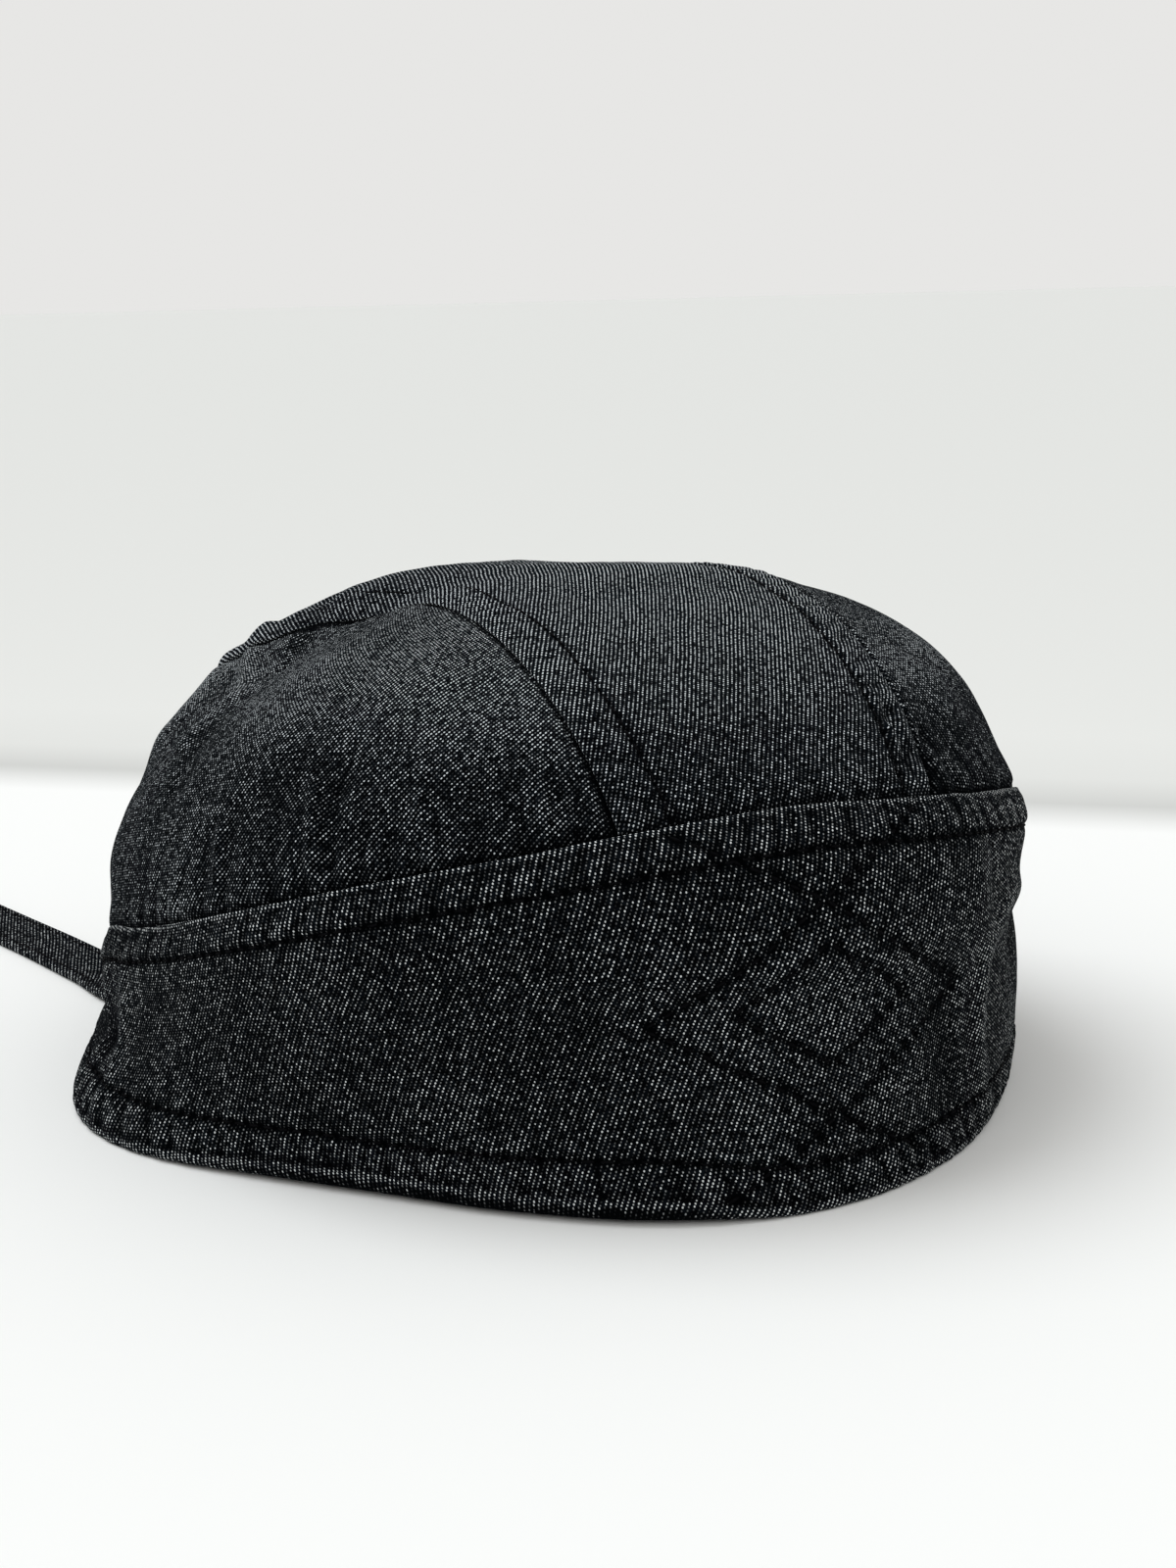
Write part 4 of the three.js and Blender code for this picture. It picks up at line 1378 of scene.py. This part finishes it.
def stitch_tree(material):
    """A geometry tree that lays a stitch on each point of the lines it is given, along the line."""
    group = bpy.data.node_groups.new("Stitch row", "GeometryNodeTree")
    face = group.interface
    face.new_socket("Geometry", in_out="INPUT", socket_type="NodeSocketGeometry")
    for label in ("Length", "Thickness"):
        face.new_socket(label, in_out="INPUT", socket_type="NodeSocketFloat")
    face.new_socket("Seed", in_out="INPUT", socket_type="NodeSocketInt")
    face.new_socket("Geometry", in_out="OUTPUT", socket_type="NodeSocketGeometry")
    tree = Tree(group)
    given = tree.add("NodeGroupInput")
    length, thick, seed = (given.value(name) for name in ("Length", "Thickness", "Seed"))
    line = tree.add("GeometryNodeMeshToCurve", inputs={0: given.value("Geometry")})
    stitch = tree.add("GeometryNodeMeshUVSphere", inputs={"Segments": 8, "Rings": 6, "Radius": 0.5})
    ahead = tree.add("GeometryNodeInputTangent").value()
    up = tree.add("GeometryNodeInputNamedAttribute", {"data_type": "FLOAT_VECTOR"}, {"Name": "up"}).value()
    turned = tree.add("FunctionNodeAlignRotationToVector", {"axis": "X"}, {"Vector": ahead}).value()
    turned = tree.add("FunctionNodeAlignRotationToVector", {"axis": "Z", "pivot_axis": "X"},
                      {"Rotation": turned, "Vector": up}).value()
    # The random node has a socket of the same name for each kind of value.
    vary = tree.add("FunctionNodeRandomValue", {"data_type": "FLOAT"}, {"Seed": seed})
    for socket in vary.node.inputs:
        if socket.name in STITCH_RANGE and socket.type == "VALUE":
            socket.default_value = STITCH_RANGE[socket.name]
    change = Value(tree, next(socket for socket in vary.node.outputs if socket.type == "VALUE"))
    bold = tree.add("GeometryNodeInputNamedAttribute", {"data_type": "FLOAT"}, {"Name": "bold"}).value()
    thick = thick * bold
    placed = tree.add("GeometryNodeInstanceOnPoints", inputs={
        "Points": line.value(), "Instance": stitch.value(), "Rotation": turned,
        "Scale": tree.vector(length * change, thick * change, thick * STITCH_FLATNESS)})
    real = tree.add("GeometryNodeRealizeInstances", inputs={0: placed.value()})
    soft = tree.add("GeometryNodeSetShadeSmooth", inputs={0: real.value()})
    painted = tree.add("GeometryNodeSetMaterial", inputs={"Geometry": soft.value(), "Material": material})
    tree.add("NodeGroupOutput", inputs={0: painted.value()})
    return group


def stitched_object(name, lines, group, material):
    """Lays stitches on lines, each of their middles, outward directions and boldness, as one plain mesh."""
    settings = bpy.context.scene.cap_stitches
    spots, ups, edges, bolds = [], [], [], []
    for points, normals, bold in lines:
        first = len(spots)
        bolds += [bold] * len(points)
        spots += ((points - BOX_MIDDLE) * MM).tolist()
        ups += normals.tolist()
        edges += [(first + k, first + k + 1) for k in range(len(points) - 1)]
    mesh = bpy.data.meshes.new(name + "_lines")
    mesh.from_pydata(spots, edges, [])
    up = mesh.attributes.new("up", "FLOAT_VECTOR", "POINT")
    up.data.foreach_set("vector", np.ravel(ups).astype(np.float32))
    mesh.attributes.new("bold", "FLOAT", "POINT").data.foreach_set("value", bolds)
    carrier = bpy.data.objects.new(name + "_lines", mesh)
    bpy.context.scene.collection.objects.link(carrier)
    modifier = carrier.modifiers.new("stitches", "NODES")
    modifier.node_group = group
    sizes = {"Length": settings.length * MM, "Thickness": settings.thickness * MM, "Seed": settings.seed}
    for item in group.interface.items_tree:
        if item.in_out == "INPUT" and item.name in sizes:
            modifier[item.identifier] = sizes[item.name]
    ready = carrier.evaluated_get(bpy.context.evaluated_depsgraph_get())
    result = bpy.data.meshes.new_from_object(ready)
    carrier.modifiers.clear()
    bpy.data.objects.remove(carrier)
    result.name = name
    result.materials.clear()
    result.materials.append(material)
    made = bpy.data.objects.new(name, result)
    bpy.context.scene.collection.objects.link(made)
    return made


def sewn_lines(cloth):
    """The stitches of a cloth's rows, as points, outward directions and boldness."""
    proud = bpy.context.scene.cap_stitches.proud
    return [(*cloth.outside(a, b, proud), bold) for a, b, bold in cloth.rows]


def tie_stitch_lines(side):
    """The stitches along both edges of a tie, in the same form."""
    settings = bpy.context.scene.cap_stitches
    strap = Strap(side)
    along = even_shares(3, strap.places[-1] - 2.5, strap.places[-1], settings.pitch)
    lines = []
    for way in (-1, 1):
        across = np.full(len(along), way * (TIE_WIDTH / 2 - TIE_STITCH))
        lines.append((*strap.outside(along, across, settings.proud), 1.0))
    return lines


# ---- Settings ----


class CapClothSettings(PropertyGroup):
    """How the cloth gathers and waves. Lengths are in millimetres."""

    gather_pitch: FloatProperty(
        name="Gather pitch", description="Distance between two gathers in mm", default=5.6)
    gather_depth: FloatProperty(
        name="Gather depth", description="Height of the gathers in mm", default=0.42)
    wave_depth: FloatProperty(
        name="Wave depth", description="Height of the slow waves in mm", default=0.55)
    stitch_sink: FloatProperty(
        name="Stitch sink", description="How deep a row of stitches sinks in mm", default=0.5)
    snug_gap: FloatProperty(
        name="Edge gap", description="Gap under a lapped edge in mm", default=0.12)


class CapDenimSettings(PropertyGroup):
    """The denim's weave and colours. Lengths are in millimetres of cloth."""

    # The dark yarn also stands in for shade painted in valleys, rows of stitches and needle holes.
    yarn_dark: FloatVectorProperty(
        name="Dark yarn", description="Dyed yarn in the valleys", subtype="COLOR",
        default=(0.0006, 0.0008, 0.0011), min=0, max=1)
    yarn_light: FloatVectorProperty(
        name="Light yarn", description="Dyed yarn where it is faded", subtype="COLOR",
        default=(0.0032, 0.0044, 0.006), min=0, max=1)
    dot_colour: FloatVectorProperty(
        name="Weft dots", description="Undyed weft where it comes up", subtype="COLOR",
        default=(0.66, 0.69, 0.69), min=0, max=1)
    sheen_colour: FloatVectorProperty(
        name="Sheen", description="Tint of the light along the fuzz", subtype="COLOR",
        default=(0.75, 0.86, 1.0), min=0, max=1)
    dot_across: FloatVectorProperty(
        name="Step across", description="From one dot to the next across the twill",
        size=2, default=(0.66, -0.39))
    dot_along: FloatVectorProperty(
        name="Step along", description="From one dot to the next up the twill",
        size=2, default=(0.25, 0.53))
    dot_length: FloatProperty(name="Dot length", description="Half length of a dot", default=0.175)
    dot_width: FloatProperty(name="Dot width", description="Half width of a dot", default=0.14)
    dot_jitter: FloatProperty(
        name="Dot jitter", description="How unevenly the dots lie", default=0.1, min=0, max=1)
    dot_strength: FloatProperty(
        name="Dot strength", description="Brightness of the dots", default=1.37, min=0)
    wander: FloatProperty(
        name="Wander", description="How far the weave strays sideways", default=0.35, min=0)
    blotches: FloatProperty(
        name="Blotches", description="Strength of the small worn blotches", default=0.3, min=0)
    clumps: FloatProperty(
        name="Clumps", description="Strength of the clumps of a few dots", default=0.85, min=0)
    gloss: FloatProperty(
        name="Gloss", description="Strength of the plain reflection", default=0.0, min=0, max=1)
    sheen: FloatProperty(
        name="Sheen weight", description="Strength of the fuzz", default=0.012, min=0, max=1)
    bump: FloatProperty(
        name="Weave relief", description="Strength of the weave's relief", default=0.5, min=0)


class CapStitchSettings(PropertyGroup):
    """The sewing thread. Lengths are in millimetres."""

    pitch: FloatProperty(name="Pitch", description="From one stitch to the next in mm", default=3.1)
    length: FloatProperty(name="Length", description="Length of a stitch in mm", default=2.25)
    thickness: FloatProperty(name="Thickness", description="Thickness of the thread in mm", default=0.5)
    proud: FloatProperty(
        name="Proud", description="How far a stitch's middle stands off the cloth in mm", default=0.08)
    seed: IntProperty(name="Seed", description="Seed of the stitches' small differences", default=5)


class CapStageSettings(PropertyGroup):
    """Camera, table top, wall and light."""

    azimuth: FloatProperty(
        name="Azimuth", description="Camera's way round the cap", subtype="ANGLE",
        default=math.radians(-27.7))
    elevation: FloatProperty(
        name="Elevation", description="Camera's height above the level", subtype="ANGLE",
        default=math.radians(11.6))
    roll: FloatProperty(
        name="Roll", description="Camera's turn about its own axis", subtype="ANGLE",
        default=math.radians(-1.4))
    distance: FloatProperty(
        name="Distance", description="From the camera to its aim", unit="LENGTH", default=0.5)
    aim: FloatVectorProperty(
        name="Aim", description="Point that the camera looks at", subtype="XYZ", unit="LENGTH",
        default=(0.01526, 0.01379, 0.05094))
    lens: FloatProperty(name="Lens", description="Focal length in mm on a 36 mm frame", default=56.2)
    table: FloatVectorProperty(
        name="Table", description="Colour of the table top", subtype="COLOR",
        default=(0.9, 0.905, 0.895), min=0, max=1)
    wall: FloatVectorProperty(
        name="Wall", description="Colour past the table's back edge", subtype="COLOR",
        default=(0.745, 0.75, 0.73), min=0, max=1)
    edge_azimuth: FloatProperty(
        name="Edge azimuth", description="Way from the cap to the table's back edge", subtype="ANGLE",
        default=math.radians(44.5))
    edge_distance: FloatProperty(
        name="Edge distance", description="From the cap to the table's back edge", unit="LENGTH",
        default=0.241)
    key: FloatProperty(
        name="Key light", description="Strength of the soft light from behind", default=1.25)
    fill: FloatProperty(
        name="Fill light", description="Power of the lamp in front in W", default=0.6)
    sky: FloatProperty(
        name="Sky", description="Strength of the light from above and behind", default=0.8)
    front_light: FloatProperty(
        name="Front light", description="Share of the sky's light left in front", default=0.6)


# ---- Operators ----

SENSOR_WIDTH = 36  # in mm
FLOOR_REACH = 40.0  # in metres, out of sight
LIT_POINT = Vector((0, 0, 0.04))  # the middle of the cap, which the lamps point at
KEY_PLACE, KEY_COLOUR, KEY_SOFTNESS = (-0.45, 0.6, 1.3), (0.93, 0.97, 1.0), math.radians(45)
FILL_PLACE, FILL_COLOUR, FILL_SIZE = (-0.3, -1.4, 0.9), (1.0, 0.97, 0.92), 1.4
SKY_LEVEL, SKY_UP = 0.5, 0.87  # how level and how steep the way to the sky's brightest part is
SKY_COLOUR = np.array([1.0, 0.995, 0.98])


class CAP_OT_stage(Operator):
    """Makes the camera, the table top with the wall behind it, and the soft lights"""

    bl_idname = "cap.stage"
    bl_label = "Stage"

    def execute(self, context):
        settings = context.scene.cap_stage
        self.make_camera(context, settings)
        self.make_floor(settings)
        self.make_lights(context, settings)
        return {"FINISHED"}

    @staticmethod
    def make_camera(context, settings):
        """A level look at the aim, from round the cap and above, and then rolled."""
        a, e, roll = settings.azimuth, settings.elevation, settings.roll
        back = Vector((math.sin(a) * math.cos(e), -math.cos(a) * math.cos(e), math.sin(e)))
        right = Vector((math.cos(a), math.sin(a), 0))
        up = back.cross(right)
        turned_right = right * math.cos(roll) + up * math.sin(roll)
        turned_up = up * math.cos(roll) - right * math.sin(roll)
        data = bpy.data.cameras.new("camera")
        data.lens, data.sensor_width = settings.lens, SENSOR_WIDTH
        data.clip_start, data.clip_end = 0.01, 20
        camera = bpy.data.objects.new("camera", data)
        turn = Matrix((turned_right, turned_up, back)).transposed().to_4x4()
        camera.matrix_world = Matrix.Translation(Vector(settings.aim) + back * settings.distance) @ turn
        context.scene.collection.objects.link(camera)
        context.scene.camera = camera
        context.scene.view_settings.view_transform = "Standard"

    @staticmethod
    def make_floor(settings):
        """A level floor that runs out of sight, with the wall's colour past the table's edge."""
        far = FLOOR_REACH
        mesh = bpy.data.meshes.new("floor")
        mesh.from_pydata([(-far, -far, 0), (far, -far, 0), (far, far, 0), (-far, far, 0)], [], [(0, 1, 2, 3)])
        mesh.materials.append(material_of("table_top", table_top, settings))
        floor = bpy.data.objects.new("floor", mesh)
        bpy.context.scene.collection.objects.link(floor)

    @staticmethod
    def make_lights(context, settings):
        """A sky that is brightest above and behind the cap, a soft sun there, and a weak lamp in front."""
        world = bpy.data.worlds.new("soft_light")
        world.use_nodes = True
        world.node_tree.nodes.clear()
        tree = Tree(world.node_tree)
        x, y, z = tree.parts(tree.add("ShaderNodeTexCoord").value("Generated"))
        a = settings.azimuth
        behind = x * (-SKY_LEVEL * math.sin(a)) + y * (SKY_LEVEL * math.cos(a)) + z * SKY_UP
        shade = tree.add("ShaderNodeValToRGB",
                         {"stops": [(0.25, SKY_COLOUR * settings.front_light), (0.72, SKY_COLOUR)]},
                         {"Fac": behind * 0.5 + 0.5})
        sky = tree.add("ShaderNodeBackground", inputs={"Color": shade.value(), "Strength": settings.sky})
        tree.add("ShaderNodeOutputWorld", inputs={"Surface": sky.value()})
        context.scene.world = world
        key = bpy.data.lights.new("key", "SUN")
        key.energy, key.angle, key.color = settings.key, KEY_SOFTNESS, KEY_COLOUR
        fill = bpy.data.lights.new("fill", "AREA")
        fill.energy, fill.size, fill.color = settings.fill, FILL_SIZE, FILL_COLOUR
        for data, place in ((key, KEY_PLACE), (fill, FILL_PLACE)):
            lamp = bpy.data.objects.new(data.name, data)
            lamp.location = place
            lamp.rotation_euler = (LIT_POINT - Vector(place)).to_track_quat("-Z", "Y").to_euler()
            context.scene.collection.objects.link(lamp)


def finish_piece(made, node, material):
    """Gives a piece its finish and sets it in the place of its CAD node."""
    made.data.materials.append(material)
    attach(made, "root")
    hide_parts(node)


class CAP_OT_ties(Operator):
    """Makes the two flat ties, sewn along both edges"""

    bl_idname = "cap.ties"
    bl_label = "Ties"

    def execute(self, context):
        material = material_of("tie_denim", denim, 3)
        for side in SIDE_NAMES:
            made = make_tie(side)
            made.data.materials.append(material)
        return {"FINISHED"}


class CAP_OT_band(Operator):
    """Makes the deep forehead band, with its gathered edges and its quilted ornament"""

    bl_idname = "cap.band"
    bl_label = "Band"

    def execute(self, context):
        sew_band()
        finish_piece(make_band(), "band", material_of("band_denim", denim, 1))
        return {"FINISHED"}


class CAP_OT_crown(Operator):
    """Makes the crown's centre strip and its two side panels"""

    bl_idname = "cap.crown"
    bl_label = "Crown"

    def execute(self, context):
        sew_crown()
        # The crown's copy of the denim is tinted bluer as painted cool light.
        material = material_of("crown_denim", denim, 2, CROWN_TINT)
        finish_piece(make_crown_centre(), "crown_centre", material)
        for side in SIDE_NAMES:
            finish_piece(make_crown_side(side), f"crown_side_{side}", material)
        return {"FINISHED"}


class CAP_OT_stitches(Operator):
    """Sews the topstitches of the band, the crown and the ties"""

    bl_idname = "cap.stitches"
    bl_label = "Stitches"

    def execute(self, context):
        material = material_of("sewing_thread", sewing_thread)
        group = stitch_tree(material)
        rows = {
            "stitches_band": (sewn_lines(BAND), "band_denim"),
            "stitches_crown": (sum(map(sewn_lines, (CENTRE, *SIDES.values())), []), "crown_denim"),
            "stitches_tie_right": (tie_stitch_lines("right"), "tie_denim"),
            "stitches_tie_left": (tie_stitch_lines("left"), "tie_denim"),
        }
        for name, (lines, slot) in rows.items():
            made = stitched_object(name, lines, group, material)
            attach(made, "root")
        return {"FINISHED"}


class CAP_PT_panel(Panel):
    """Lists the cap's pieces and their settings"""

    bl_idname = "CAP_PT_panel"
    bl_label = "Bandana cap"
    bl_space_type = "VIEW_3D"
    bl_region_type = "UI"
    bl_category = "Bandana cap"

    def draw(self, context):
        for operator in OPERATORS:
            self.layout.operator(operator.bl_idname)
        for name, group in SETTINGS.items():
            box = self.layout.box()
            for prop in group.__annotations__:
                box.prop(getattr(context.scene, name), prop)


SETTINGS = {
    "cap_stage": CapStageSettings,
    "cap_cloth": CapClothSettings,
    "cap_denim": CapDenimSettings,
    "cap_stitches": CapStitchSettings,
}
OPERATORS = (CAP_OT_stage, CAP_OT_ties, CAP_OT_band, CAP_OT_crown, CAP_OT_stitches)


def register():
    """Makes the classes known, and gives each scene its settings."""
    for group in SETTINGS.values():
        bpy.utils.register_class(group)
    for kind in (*OPERATORS, CAP_PT_panel):
        bpy.utils.register_class(kind)
    for name, group in SETTINGS.items():
        setattr(bpy.types.Scene, name, PointerProperty(type=group))


def unregister():
    """Takes the settings and the classes away again."""
    for name in SETTINGS:
        delattr(bpy.types.Scene, name)
    for kind in (CAP_PT_panel, *OPERATORS, *SETTINGS.values()):
        bpy.utils.unregister_class(kind)


def main():
    """Builds the whole cap."""
    register()
    for operator in OPERATORS:
        family, name = operator.bl_idname.split(".")
        getattr(getattr(bpy.ops, family), name)()


if __name__ == "__main__":
    main()
